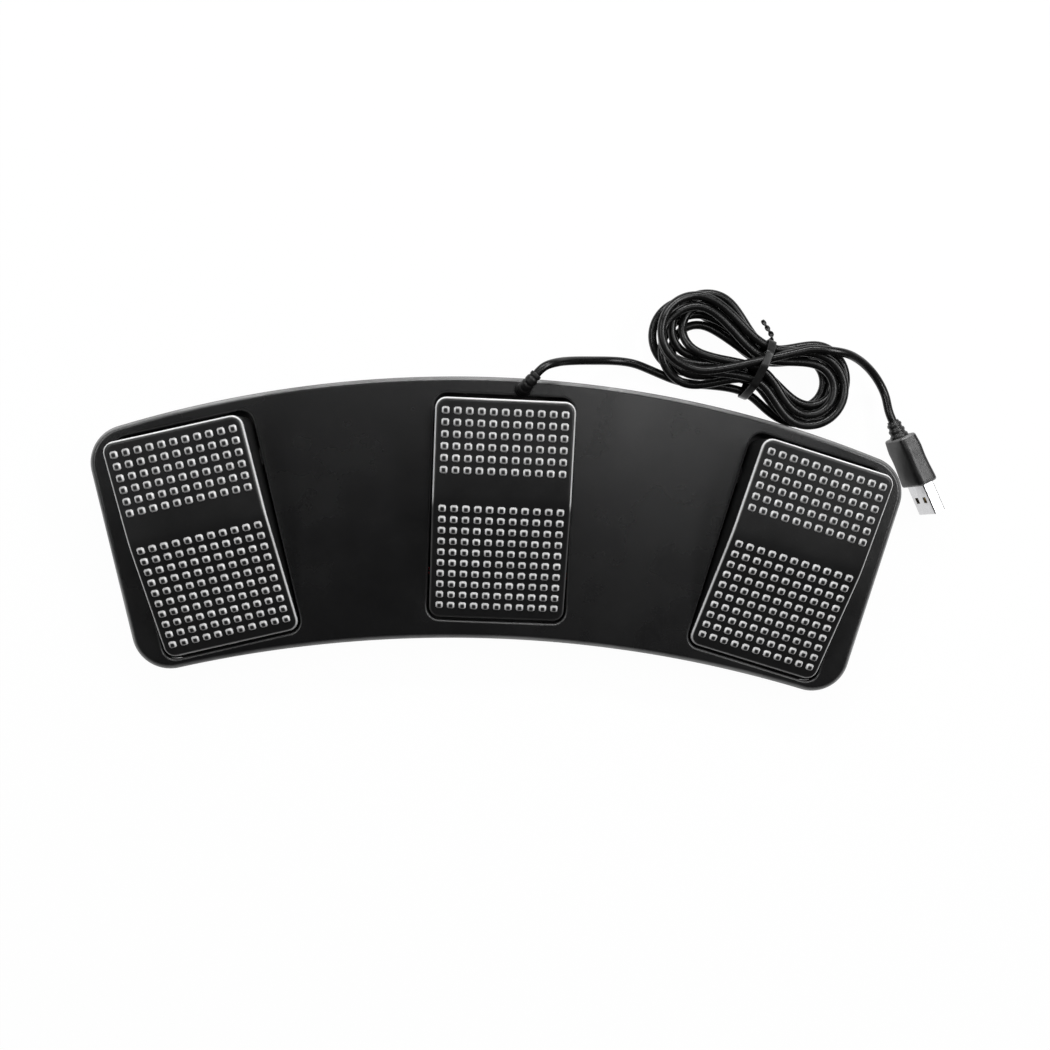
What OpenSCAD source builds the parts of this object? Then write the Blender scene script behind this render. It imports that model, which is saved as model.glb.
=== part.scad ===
// Triple foot pedal switch with a USB cable.
// Frame: +X to the right, +Y to the back, +Z up, origin under the middle of the base. Millimetres.

/* [Housing] */
// Overall width of the base between the sharp back corners
corner_span = 306.8; // [280:1:330]
// Depth of the base on its middle line
base_depth = 97.2; // [90:0.5:110]
// Radius of the long back edge
back_radius = 426.6; // [400:1:460]
// Radius of the long front edge
front_radius = 459.6; // [430:1:490]
// Lean of the two end edges from straight back
end_lean = 15; // [12:0.5:18]
// Corner radius of the base in plan
corner_r = 14; // [10:0.5:18]
// Height of the housing top above the table
top_z = 15; // [14:0.1:17]
// Thickness of the housing walls
wall = 2.2; // [1.8:0.1:2.6]
// Thickness of the housing top
top_t = 2.5; // [2:0.1:3]
// Radius of the rounded top edge
rim_r = 2; // [1:0.1:2.2]

/* [Pedals] */
// Pedal width
pedal_w = 50; // [46:0.5:52]
// Length in front of the bend across the pedal
front_len = 44; // [40:0.5:46]
// Length behind the bend across the pedal
back_len = 36.8; // [33:0.2:38]
// Height of the front edge
front_z = 15.5; // [15.2:0.1:17]
// Height of the bend
bend_z = 30.5; // [28:0.5:33]
// Height of the back edge
back_z = 34.5; // [32:0.5:38]
// Thickness of the tread
tread_t = 2.5; // [2:0.1:3]
// Thickness of the skirts
skirt_t = 2; // [1.6:0.1:2.4]
// Corner radius in plan
pedal_r = 4; // [3:0.5:6]
// Turn of the outer pedals
fan_angle = 15; // [14.5:0.1:15.5]
// Bends of the outer pedals inside the sharp back corners
pedal_in = 45.6; // [40:0.1:48]
// Fan radius, from the fan centre to the bends
fan_r = 416.5; // [405:0.5:430]
// Bend of the middle pedal behind the middle of the base axis
bend_back = 3; // [1:0.1:3.5]
// Travel when pressed, in degrees
press_angle = 5.5; // [4:0.1:5.6]
// Play beside the pedal in its opening
side_play = 0.8; // [0.5:0.1:1.2]
// Play in front of the pedal in its opening
front_play = 1; // [0.8:0.1:1.5]
// Play behind the pedal in its opening
back_play = 2.2; // [1.8:0.1:2.4]

/* [Grip] */
// Pitch of the grip studs
stud_pitch = 4.25; // [4:0.05:4.6]
// Side of a stud at its foot
stud_foot = 2.7; // [2.4:0.1:3]
// Side of a stud at its top
stud_top = 1.6; // [1:0.1:1.8]
// Height of a stud
stud_h = 0.75; // [0.5:0.05:1]
// First row of studs behind the bend
grip_back = 11; // [9:0.5:13]
// First row of studs in front of the bend
grip_front = 3.1; // [2.5:0.1:4]
// Edge of the tread to the middle of the nearest studs, at least
grip_border = 3.5; // [3:0.1:4.5]

/* [Hinges] */
// Hinge pin radius
pin_r = 1.5; // [1.2:0.05:1.6]
// Running play of the pin in its bores
pin_play = 0.05; // [0.02:0.01:0.09]
// Height of the hinge pin
hinge_z = 9; // [8.6:0.1:9.6]
// Hinge pin behind the front edge of the pedal
hinge_in = 6; // [5.6:0.1:7]
// Ear thickness
ear_t = 3; // [2:0.1:4]

/* [Cover and feet] */
// Thickness of the rubber feet below the cover
foot_out = 1.5; // [1:0.1:1.8]
// Radius of a rubber foot
foot_r = 6; // [5:0.5:7]
// Thickness of the cover plate
floor_t = 2; // [1.6:0.1:2.2]
// Fit between loose pieces
fit = 0.2; // [0.1:0.05:0.3]

/* [Springs and switches] */
// Coil radius at the middle of the wire
coil_r = 4; // [3.5:0.1:5]
// Spring wire radius
wire_r = 0.5; // [0.3:0.05:0.6]
// Turns of a return spring
coil_turns = 7; // [5:1:8]
// Spring behind the bend
spring_back = 22; // [18:0.5:26]
// Height of the upper spring seat
seat_z = 21; // [19:0.5:24]
// Switch in front of the bend
switch_front = 12; // [10:0.5:14]
// Side of the square switch body
switch_w = 12; // [10:0.5:13]
// Switch plunger radius
plunger_r = 3; // [2.5:0.1:3.4]
// Height of the plunger top at rest
plunger_z = 17; // [16.4:0.1:17.6]

/* [Cable and plug] */
// Cable diameter
cable_d = 3.2; // [3:0.1:3.4]
// Gap between loops side by side in the hank
loop_gap = 0.65; // [0.55:0.05:0.8]
// Extra gap where the loops are drawn in at the waist
waist_gap = 0.55; // [0.5:0.05:0.7]
// Gap between the layers of the hank
layer_gap = 0.55; // [0.5:0.05:0.7]
// Layers of two loops in the hank
hank_layers = 4; // [2:2:4]
// Overmould width
plug_w = 15.5; // [14:0.5:16.5]
// Overmould thickness
plug_t = 7.8; // [7:0.1:8.5]
// Overmould length
plug_len = 19.5; // [17:0.5:22]
// Plug shell width
shell_w = 12; // [11.9:0.05:12.1]
// Plug shell thickness
shell_t = 4.5; // [4.4:0.05:4.6]
// Length of shell past the overmould
shell_len = 11.9; // [11:0.1:12.5]

/* [Hidden] */
$fn = 32;
sunk = 0.05;
header_h = 4.4;
half_span = corner_span / 2;
floor_z = foot_out + floor_t;
under_z = top_z - top_t;

// plan of the base: two long arcs, two leaning ends and four round corners
function unit(v) = v / norm(v);
function sink(a, r) = [r * sin(a), r * cos(a)];
back_c = [0, -back_radius];
front_c = [0, -base_depth - front_radius];
end_top = [half_span, sqrt(back_radius * back_radius - half_span * half_span) - back_radius];
end_dir = [-sin(end_lean), -cos(end_lean)];
end_in = [-cos(end_lean), sin(end_lean)];
function meet(q, r) = -(q * end_dir) - sqrt((q * end_dir) * (q * end_dir) - q * q + r * r);
in_line = end_top + corner_r * end_in;
back_k = in_line + meet(in_line - back_c, back_radius - corner_r) * end_dir;
front_k = in_line + meet(in_line - front_c, front_radius + corner_r) * end_dir;
back_a = atan2(back_k[0] - back_c[0], back_k[1] - back_c[1]);
front_a = atan2(front_k[0] - front_c[0], front_k[1] - front_c[1]);
y_mid = (front_k[1] - corner_r) / 2;
half_depth = -y_mid;
half_width = back_k[0] + corner_r;
function edge(inset) = [
    for (i = [0:9]) back_c + sink(back_a * i / 10, back_radius - inset),
    for (i = [0:6]) back_k + sink(back_a + (90 + end_lean - back_a) * i / 6, corner_r - inset),
    for (i = [0:6]) front_k + sink(90 + end_lean + (90 + front_a - end_lean) * i / 6, corner_r - inset),
    for (i = [9:-1:0]) front_c + sink(front_a * i / 10, front_radius + inset)];
function outline(inset) = let (e = edge(inset), n = len(e)) [
    for (p = e) p - [0, y_mid],
    for (i = [n - 2:-1:1]) [-e[i][0], e[i][1] - y_mid]];

// places: the fan of pedals, the screws and the boards
fan_y = half_depth - base_depth / 2 + bend_back - fan_r;
function fan(a, r) = [-r * sin(a), fan_y + r * cos(a)];
spread = asin((half_span - pedal_in) / fan_r);
sides = [1, 0, -1];
gap_a = spread / 2;
boss_r = 3.5;
boss_back = 31;
boss_front = 40;
boss_end = 44;
end_boss = end_top - [0, y_mid] + (wall + boss_r) * end_in + boss_end * end_dir;
boss_at = [fan(gap_a, fan_r + boss_back), fan(-gap_a, fan_r + boss_back), fan(gap_a, fan_r - boss_front),
    fan(-gap_a, fan_r - boss_front), end_boss, [-end_boss[0], end_boss[1]]];
foot_back = 14;
foot_front = 28;
foot_at = [for (s = sides, r = [foot_back, -foot_front]) fan(s * spread, fan_r + r)];
boss_base = floor_z + 2;
screw_r = 1.2;
board_at = fan(-gap_a, fan_r);
board_w = 34;
board_l = 24;
board_z = floor_z + 2.5;
board_t = 1.6;
deck_z = board_z + board_t;
post_in = 3;
function on_board(u, v) = board_at + [u * cos(gap_a) + v * sin(gap_a), v * cos(gap_a) - u * sin(gap_a)];
// side is 1 for the left pedal, 0 for the middle one and -1 for the right one
function on_pedal(side, u, v) = let (a = side * fan_angle)
    fan(side * spread, fan_r) + [u * cos(a) - v * sin(a), v * cos(a) + u * sin(a)];
stop_z = under_z - 0.3;
hinge_y = hinge_in - front_len;
ear_r = 3.5;
body_h = 6;
plunger_low = plunger_z - 5.1;

// route of the cable: gland, lead, hank on the table behind the base, tail and plug
cable_r = cable_d / 2;
gland_x = 6.5;
gland_y = half_depth - 4.2;
gland_turn = 39;
gland_bend = 6.5;
gland_top = top_z + 1.4;
gland_lip = 0.5;
gland_out = [sin(gland_turn), cos(gland_turn), 0];
gland_end = [gland_x, gland_y, gland_top + gland_bend] + (gland_bend + gland_lip) * gland_out;
hank_at = [half_width - 55.4, half_depth + 9.4];
hank_turn = -20.4;
hank_rest = 0.9;
step = cable_d + loop_gap;
waist_step = step + waist_gap;
fold_in = 3 * cable_d;
fold_left = 28.5;
fold_right = 21;
layer_h = cable_d + layer_gap;
lag = 0.05;
ease = 0.07;
slot_side = [1, 0, 0, 1];
plug_at = [half_width - 0.4, half_depth - 15.4];
plug_turn = -63;
plug_roll = 79;
plug_z = plug_w / 2 * sin(plug_roll) + plug_t / 2 * cos(plug_roll) + 0.05;
relief_len = 6.5;
function on_hank(s, w) = hank_at
    + [s * cos(hank_turn) - w * sin(hank_turn), s * sin(hank_turn) + w * cos(hank_turn)];
function flat(p) = [p[0], p[1]];
function raise(p, z) = [p[0], p[1], z];
function blend(a, b, t) = a + (b - a) * t;
function soft(t) = let (c = max(0, min(1, t))) c * c * (3 - 2 * c);

// one loop of the hank: turn is 0 to 1 round it from the waist, side is 0 for the inner loop, 1 for the outer
function loop_w(s, side) = blend((0.5 + side) * waist_step, fold_in + side * step,
    soft(abs(s) / (s > 0 ? fold_right : fold_left)));
function loop_at(turn, side) = let (q = 24 * (turn - floor(turn)), r = fold_in + side * step)
    q < 3 ? let (s = fold_right * q / 3) [s, -loop_w(s, side)] :
    q < 9 ? let (a = -90 + 30 * (q - 3)) [fold_right + r * cos(a), r * sin(a)] :
    q < 15 ? let (s = fold_right - (fold_right + fold_left) * (q - 9) / 6) [s, loop_w(s, side)] :
    q < 21 ? let (a = 90 + 30 * (q - 15)) [-fold_left + r * cos(a), r * sin(a)] :
    let (s = -fold_left * (24 - q) / 3) [s, -loop_w(s, side)];
function slot(k) = k < 0 ? [2, 0] : [slot_side[k % 4], floor(k / 2)];
// the strand leaves each place a little before it comes round again, so that it never meets itself
function strand(t) = let (k = floor(t / (1 - lag) + 0.5), m = soft((t - k * (1 - lag)) / (2 * ease) + 0.5),
    s = blend(slot(k - 1), slot(k), m)) raise(loop_at(t + 0.11, s[0]), base_h + s[1] * layer_h);
hank_start = -0.235;
hank_stop = 2 * hank_layers - 0.235;
hank_rings = 24 * 2 * hank_layers;
base_h = hank_rest + cable_r;
top_h = base_h + hank_layers * layer_h;
hank_local = concat([for (e = [8, 4]) [-fold_left - e, -fold_in - 2 * step, base_h]],
    [for (i = [0:hank_rings]) strand(blend(hank_start, hank_stop, i / hank_rings))],
    [for (p = [[-21, -11.9], [-14, -8.3], [-7, -3.6], [0, 1.4], [7, 6.4], [11, 9.3]]) raise(p, top_h)]);
hank_path = [for (p = hank_local) raise(on_hank(p[0], p[1]), p[2])];
hank_first = hank_path[0];
hank_last = hank_path[len(hank_path) - 1];

// free stretches: share of the way from end to end, then a side step in x and y, then a height
lead_via = [[0.14, 0.4, 3.8, 20.6], [0.22, 0.4, 4.4, 16.6], [0.35, 0.2, 4.6, 12.2], [0.5, 0, 4.5, 7.8],
    [0.64, 0, 4.3, 4.6], [0.78, 0, 3.6, 3], [0.9, 0, 2.1, 2.6]];
function via(from, to, list) = [for (v = list) raise(blend(flat(from), flat(to), v[0]) + [v[1], v[2]], v[3])];
lead_path = concat([gland_end, gland_end + cable_d * gland_out], via(gland_end, hank_first, lead_via),
    [hank_first - cable_d * unit(hank_path[1] - hank_first), hank_first]);
relief_start = raise(plug_at - relief_len * [cos(plug_turn), sin(plug_turn)], plug_z);
tail_via = [[0.26, 0.4, 6.9, 17.5], [0.4, 1.4, 9.7, 16.2], [0.53, 2, 11.2, 12.8], [0.66, 2.6, 11.2, 9.2],
    [0.78, 2.7, 9.6, 6.8], [0.88, 1.8, 7, 6.4]];
hank_out = unit(hank_last - hank_path[len(hank_path) - 2]);
plug_out = [cos(plug_turn), sin(plug_turn), 0];
tail_path = concat([hank_last, hank_last + cable_d * hank_out], via(hank_last, relief_start, tail_via),
    [relief_start - cable_d * plug_out, relief_start]);
clamp_x = 26.5;
clamp_y = 5.9;
clamp_at = [gland_x + clamp_x, gland_y - clamp_y];
clamp_turn = -25;
function on_clamp(s) = clamp_at + s * [cos(clamp_turn), sin(clamp_turn)];
run_z = floor_z + cable_r + 0.1;
run_bend = 6.5;
run_top = run_z + run_bend + 0.6;
header_x = -6.4;
header_y = 8;
header_w = 10;
header_l = 6;
header_in = on_board(header_x, header_y + header_l / 2);
inner_path = concat([[gland_x, gland_y, run_top]],
    [for (a = [0:30:90]) [gland_x + run_bend * (1 - cos(a)), gland_y, run_z + run_bend * (1 - sin(a))]],
    [raise([gland_x + 18, gland_y - 1.4], run_z), raise(on_clamp(-4.5), run_z), raise(on_clamp(4.5), run_z),
    raise(on_clamp(10) - [0, 1.4], run_z), raise(blend(on_clamp(10), header_in, 0.5) + [1.6, 1], run_z + 2.4),
    raise(on_board(header_x, header_y + header_l / 2 + 5), deck_z + header_h / 2),
    raise(header_in, deck_z + header_h / 2)]);

// a tube swept along points, its rings carried without twist
function heading(p, i) = unit(p[min(i + 1, len(p) - 1)] - p[max(i - 1, 0)]);
function squared(n, t) = unit(n - (n * t) * t);
function carried(p, n0) = [for (i = 0, n = n0; i < len(p); i = i + 1,
    n = squared(n, heading(p, min(i, len(p) - 1)))) squared(n, heading(p, i))];
module tube(p, r, sides, start) {
    n = carried(p, start);
    m = len(p);
    rings = [for (i = [0:m - 1]) let (t = heading(p, i), b = cross(t, n[i]), q = is_list(r) ? r[i] : r)
        for (j = [0:sides - 1]) p[i] + q * (cos(360 * j / sides) * n[i] + sin(360 * j / sides) * b)];
    polyhedron(rings, concat(
        [for (j = [1:sides - 2]) [0, j, j + 1]],
        [for (i = [0:m - 2], j = [0:sides - 1]) let (a = i * sides, b = a + sides, k = (j + 1) % sides) each
            [[a + j, b + j, b + k], [a + j, b + k, a + k]]],
        [for (j = [1:sides - 2]) [(m - 1) * sides, (m - 1) * sides + j + 1, (m - 1) * sides + j]]));
}
function least(p, away) = min([for (i = [0:len(p) - 1 - away])
    min([for (j = [i + away:len(p) - 1]) norm(p[i] - p[j])])]);
function fine(p) = [for (i = [0:len(p) - 2], k = [0:2]) blend(p[i], p[i + 1], k / 3)];

// a block with round upright corners, seen from above
module pad(w, l, r, h) {
    translate([-w / 2 + r, -l / 2, 0]) cube([w - 2 * r, l, h]);
    translate([-w / 2, -l / 2 + r, 0]) cube([w, l - 2 * r, h]);
    for (x = [-1, 1], y = [-1, 1]) translate([x * (w / 2 - r), y * (l / 2 - r), 0]) cylinder(h = h, r = r);
}
module fan_place(side) {
    translate(raise(fan(side * spread, fan_r), 0)) rotate([0, 0, side * fan_angle]) children();
}
module across(v, z, r, w) {
    translate([-w / 2, v, z]) rotate([0, 90, 0]) cylinder(h = w, r = r);
}
module plug_place() {
    translate(raise(plug_at, plug_z)) rotate([0, 0, plug_turn]) rotate([plug_roll, 0, 0]) children();
}

// the housing: a shell lofted up to a rounded rim, open below and over each pedal
module top_housing() {
    hole_front = front_len + front_play;
    hole_back = back_len + back_play;
    o0 = outline(0);
    n = len(o0);
    lifts = concat([[0, foot_out]],
        [for (a = [0:30:90]) [rim_r * (1 - cos(a)), top_z - rim_r * (1 - sin(a))]]);
    rings = [for (l = lifts) for (p = outline(l[0])) raise(p, l[1])];
    color([0.07, 0.07, 0.075]) difference() {
        union() {
            difference() {
                polyhedron(rings, concat([[for (j = [n - 1:-1:0]) j]],
                    [for (i = [0:len(lifts) - 2], j = [0:n - 1]) let (a = i * n, b = a + n, k = (j + 1) % n)
                        each [[a + j, b + k, b + j], [a + j, a + k, b + k]]],
                    [[for (j = [0:n - 1]) (len(lifts) - 1) * n + j]]));
                translate([0, 0, foot_out - 1]) linear_extrude(under_z - foot_out + 1) polygon(outline(wall));
            }
            for (p = boss_at) translate(raise(p, boss_base))
                cylinder(h = under_z + sunk - boss_base, r = boss_r);
        }
        for (s = sides) fan_place(s) translate([0, (hole_back - hole_front) / 2, under_z - 1])
            pad(pedal_w + 2 * side_play, hole_front + hole_back, pedal_r + side_play, top_t + 2);
        for (p = boss_at) translate(raise(p, boss_base - 1)) cylinder(h = 6.5, r = screw_r + 0.05);
        translate([gland_x, gland_y, under_z - 1]) cylinder(h = top_t + 2, r = 2.75);
        translate([gland_x - 2.75, gland_y - 3, under_z - 1]) cube([5.5, 3, top_t + 2]);
    }
}

module board_place() {
    translate(raise(board_at, 0)) rotate([0, 0, -gap_a]) children();
}
module board_corners() {
    for (u = [-1, 1], v = [-1, 1]) board_place()
        translate([u * (board_w / 2 - post_in), v * (board_l / 2 - post_in), 0]) children();
}
module bottom_cover() {
    color([0.09, 0.09, 0.095]) difference() {
        union() {
            translate([0, 0, foot_out]) linear_extrude(floor_t) polygon(outline(wall + fit));
            for (p = boss_at) translate(raise(p, floor_z - sunk))
                cylinder(h = boss_base - floor_z + sunk, r = boss_r);
            for (side = sides) fan_place(side) {
                for (s = [-1, 1]) translate([s * (pedal_w / 2 - skirt_t - 3 - ear_t / 2), 0, 0]) {
                    translate([-ear_t / 2, hinge_y - ear_r, floor_z - sunk])
                        cube([ear_t, 2 * ear_r, hinge_z - floor_z + sunk]);
                    across(hinge_y, hinge_z, ear_r, ear_t);
                }
                translate([0, spring_back, floor_z - sunk])
                    cylinder(h = 3.5 + sunk, r = coil_r - wire_r - 0.6);
                for (s = [-1, 1]) translate([s * (switch_w / 2 + 1), -switch_front, floor_z - sunk])
                    cylinder(h = board_z - floor_z + sunk, r = 2);
            }
            board_corners() translate([0, 0, floor_z - sunk]) cylinder(h = board_z - floor_z + sunk, r = 2.4);
        }
        for (s = sides) fan_place(s) across(hinge_y, hinge_z, pin_r + pin_play, pedal_w);
        for (p = boss_at) translate(raise(p, foot_out - 1)) {
            cylinder(h = boss_base, r = screw_r + 0.1);
            cylinder(h = 3, r = 2.7);
        }
        for (p = foot_at) translate(raise(p, foot_out - 1)) cylinder(h = 1.5, r = foot_r + 0.1);
        board_corners() translate([0, 0, floor_z - 1]) cylinder(h = 9, r = 0.9);
    }
}

// a pedal: a hollow treadle bent across its middle, with hinge bores, hooks, a spring seat and a switch post
rise = (bend_z - front_z) / front_len;
fall = (back_z - bend_z) / back_len;
module tread(over, skin) {
    back = back_len - skin;
    front = front_len - skin;
    low_f = skin > 0 ? -5 : 5;
    low_b = skin > 0 ? -5 : floor_z + 0.9 + (back_len - hinge_y) * sin(press_angle);
    intersection() {
        translate([0, (back_len - front_len) / 2, -20])
            pad(pedal_w - 2 * skin, front_len + back_len - 2 * skin, pedal_r - skin, 80);
        rotate([90, 0, 90]) translate([0, 0, -pedal_w / 2]) linear_extrude(pedal_w) polygon([[-front, low_f],
            [back, low_b], [back, bend_z + fall * back - over], [0, bend_z - over],
            [-front, bend_z - rise * front - over]]);
    }
}
// studs: where teeth that run along the tread cross teeth that run over it, a low pyramid stands out
function stud_half(z) = (stud_foot - (stud_foot - stud_top) * z / stud_h) / 2;
function comb(at, low, high) = concat([[at[0] - stud_pitch / 2, -tread_t / 2]],
    [for (x = at) each [[x - stud_half(low), low], [x - stud_half(high), high], [x + stud_half(high), high],
        [x + stud_half(low), low]]],
    [[at[len(at) - 1] + stud_pitch / 2, -tread_t / 2]]);
function places(room) = floor(room / stud_pitch);
module studs(tilt, rows) {
    n = places(pedal_w - 2 * grip_border);
    columns = [for (i = [0:n]) (i - n / 2) * stud_pitch];
    reach = front_len + back_len;
    translate([0, 0, bend_z]) rotate([tilt, 0, 0]) intersection() {
        rotate([90, 0, 0]) translate([0, 0, -reach]) linear_extrude(2 * reach)
            polygon(comb(columns, -0.3, stud_h));
        rotate([90, 0, 90]) translate([0, 0, -pedal_w / 2]) linear_extrude(pedal_w)
            polygon(comb(rows, -0.5, 1.2 * stud_h));
    }
}
module grip() {
    back_n = places(norm([back_len, back_z - bend_z]) - grip_back - grip_border);
    front_n = places(norm([front_len, bend_z - front_z]) - grip_front - grip_border);
    studs(atan(fall), [for (i = [0:back_n]) grip_back + i * stud_pitch]);
    studs(atan(rise), [for (i = [front_n:-1:0]) -grip_front - i * stud_pitch]);
}
module pedal_form() {
    hook_w = skirt_t + side_play + 1.4;
    plate_z = bend_z + fall * spring_back - tread_t / 2;
    post_z = bend_z - rise * switch_front - tread_t / 2;
    difference() {
        union() {
            difference() {
                tread(0, 0);
                tread(tread_t, skirt_t);
            }
            grip();
            for (s = [-1, 1]) translate([s * (pedal_w / 2 - skirt_t + hook_w / 2) - hook_w / 2,
                spring_back - 4, stop_z - 1.9]) cube([hook_w, 6, 1.9]);
            translate([0, spring_back, seat_z]) cylinder(h = plate_z - seat_z, r = coil_r + 2);
            translate([0, spring_back, seat_z - 2.5]) cylinder(h = 3, r = coil_r - wire_r - 0.6);
            translate([0, -switch_front, plunger_z + 0.2]) cylinder(h = post_z - plunger_z - 0.2, r = 2);
        }
        across(hinge_y, hinge_z, pin_r + pin_play, pedal_w + 2);
    }
}
module left_pedal() { color([0.06, 0.06, 0.065]) fan_place(sides[0]) pedal_form(); }
module middle_pedal() { color([0.06, 0.06, 0.065]) fan_place(sides[1]) pedal_form(); }
module right_pedal() { color([0.06, 0.06, 0.065]) fan_place(sides[2]) pedal_form(); }

module pin(side) { color([0.7, 0.7, 0.72]) fan_place(side) across(hinge_y, hinge_z, pin_r, pedal_w - 0.8); }
module left_hinge_pin() { pin(sides[0]); }
module middle_hinge_pin() { pin(sides[1]); }
module right_hinge_pin() { pin(sides[2]); }

module spring(side) {
    low = floor_z + wire_r + 0.05;
    high = seat_z - wire_r - 0.05;
    n = coil_turns * 10;
    path = [for (i = [0:n]) let (f = i / n, g = max(0, min(1, (f * coil_turns - 0.8) / (coil_turns - 1.6))))
        [coil_r * cos(36 * i), coil_r * sin(36 * i), blend(low, high, 0.92 * g + 0.08 * f)]];
    color([0.72, 0.72, 0.74]) fan_place(side) translate([0, spring_back, 0]) tube(path, wire_r, 6, [1, 0, 0]);
}
module left_return_spring() { spring(sides[0]); }
module middle_return_spring() { spring(sides[1]); }
module right_return_spring() { spring(sides[2]); }

module switch_card(side) {
    color([0.1, 0.35, 0.18]) fan_place(side) translate([0, -switch_front, board_z])
        pad(switch_w + 6, switch_w + 2, 1, board_t);
}
module left_switch_board() { switch_card(sides[0]); }
module middle_switch_board() { switch_card(sides[1]); }
module right_switch_board() { switch_card(sides[2]); }

module switch_case(side) {
    color([0.12, 0.12, 0.13]) fan_place(side) translate([0, -switch_front, deck_z]) difference() {
        pad(switch_w, switch_w, 0.8, body_h);
        translate([0, 0, plunger_low - deck_z - 3.4]) cylinder(h = 20, r = plunger_r + 0.08);
    }
}
module left_switch_body() { switch_case(sides[0]); }
module middle_switch_body() { switch_case(sides[1]); }
module right_switch_body() { switch_case(sides[2]); }

module plunger(side) {
    color([0.75, 0.12, 0.1]) fan_place(side) translate([0, -switch_front, plunger_low])
        cylinder(h = plunger_z - plunger_low, r = plunger_r);
}
module left_switch_plunger() { plunger(sides[0]); }
module middle_switch_plunger() { plunger(sides[1]); }
module right_switch_plunger() { plunger(sides[2]); }

// a pair of thin wires from a switch card to its header on the main board
lead_r = 0.6;
wire_z = floor_z + lead_r + 0.1;
over_z = deck_z + lead_r + 0.05;
function pair(p, d) = [for (i = [0:len(p) - 1]) let (t = heading(p, i)) p[i] + d * unit([t[1], -t[0], 0])];
module wires(p) {
    for (d = [-0.8, 0.8]) tube(pair(p, d), lead_r, 6, [0, 0, 1]);
}
plug_pitch = 9;
wire_front = 4.5;
run_front = 16;
function header_u(i) = plug_pitch * (i - 1);
function arrive(i) = [raise(on_board(header_u(i), -board_l / 2 - 6), wire_z + 1.6),
    raise(on_board(header_u(i), -board_l / 2 - 2.5), deck_z + header_h / 2),
    raise(on_board(header_u(i), -board_l / 2 + 1), deck_z + header_h / 2)];
function leave(side, s) = [for (w = [[switch_w / 2 + 0.3, over_z], [switch_w / 2 + 4, over_z],
    [switch_w / 2 + 8, wire_z + 0.6], [switch_w / 2 + 12, wire_z], [pedal_w / 2 + 3, wire_z]])
    raise(on_pedal(side, s * w[0], -switch_front - wire_front), w[1])];
module left_switch_leads() {
    run = [[-pedal_w / 2 - 14, 2 - run_front], [-pedal_w / 2, -run_front], [pedal_w / 2 + 4, -run_front]];
    color([0.65, 0.08, 0.08]) wires(concat(leave(sides[0], 1),
        [for (r = run) raise(on_pedal(0, r[0], r[1] - switch_front), wire_z)], arrive(0)));
}
module middle_switch_leads() {
    run = [raise(on_board(-4, -board_l / 2 - 8), wire_z)];
    color([0.65, 0.08, 0.08]) wires(concat(leave(sides[1], 1), run, arrive(1)));
}
module right_switch_leads() {
    run = [raise(on_board(14, -board_l / 2 - 7), wire_z)];
    color([0.65, 0.08, 0.08]) wires(concat(leave(sides[2], -1), run, arrive(2)));
}

module main_board() {
    color([0.1, 0.35, 0.18]) board_place() difference() {
        translate([0, 0, board_z]) pad(board_w, board_l, 1.5, board_t);
        for (u = [-1, 1], v = [-1, 1])
            translate([u * (board_w / 2 - post_in), v * (board_l / 2 - post_in), board_z - 1])
                cylinder(h = 4, r = 1.1);
    }
}
module controller_chip() {
    color([0.08, 0.08, 0.08]) board_place() translate([3, 0.6, deck_z]) pad(7, 7, 0.4, 1.2);
}
module crystal() {
    color([0.75, 0.75, 0.77]) board_place() translate([-6, 1, deck_z]) pad(8, 3.6, 1.7, 3.4);
}
module cable_header() {
    color([0.9, 0.88, 0.82]) board_place() translate([header_x, header_y, deck_z])
        pad(header_w, header_l, 0.4, header_h);
}
module switch_headers() {
    color([0.9, 0.88, 0.82]) board_place() for (i = [0:2])
        translate([header_u(i), -board_l / 2 + 3.5, deck_z]) pad(4.6, 5, 0.4, header_h);
}
module board_screws() {
    color([0.7, 0.7, 0.72]) board_corners() {
        translate([0, 0, deck_z]) cylinder(h = 1.2, r = 1.9);
        translate([0, 0, floor_z - 0.8]) cylinder(h = deck_z - floor_z + 1, r = 0.85);
    }
}

module housing_screws() {
    color([0.6, 0.6, 0.62]) for (p = boss_at) translate(raise(p, foot_out)) difference() {
        union() {
            translate([0, 0, 0.5]) cylinder(h = 1.5, r = 2.4);
            cylinder(h = boss_base - foot_out + 5, r = screw_r);
        }
        translate([-2, -2, -1]) cube([4, 4, 1.5]);
        translate([-0.4, -3, 0]) cube([0.8, 6, 1.2]);
    }
}
module rubber_feet() {
    color([0.13, 0.13, 0.13]) for (p = foot_at) translate(raise(p, 0))
        cylinder(h = foot_out + 0.5, r = foot_r);
}
// rubber pads where the side skirts land
bumper_in = 9.5;
module pedal_bumpers() {
    color([0.15, 0.15, 0.15]) for (side = sides, s = [-1, 1]) fan_place(side)
        translate([s * (pedal_w - skirt_t) / 2, back_len - bumper_in, floor_z]) pad(3, 6, 0.8, 0.7);
}

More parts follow.
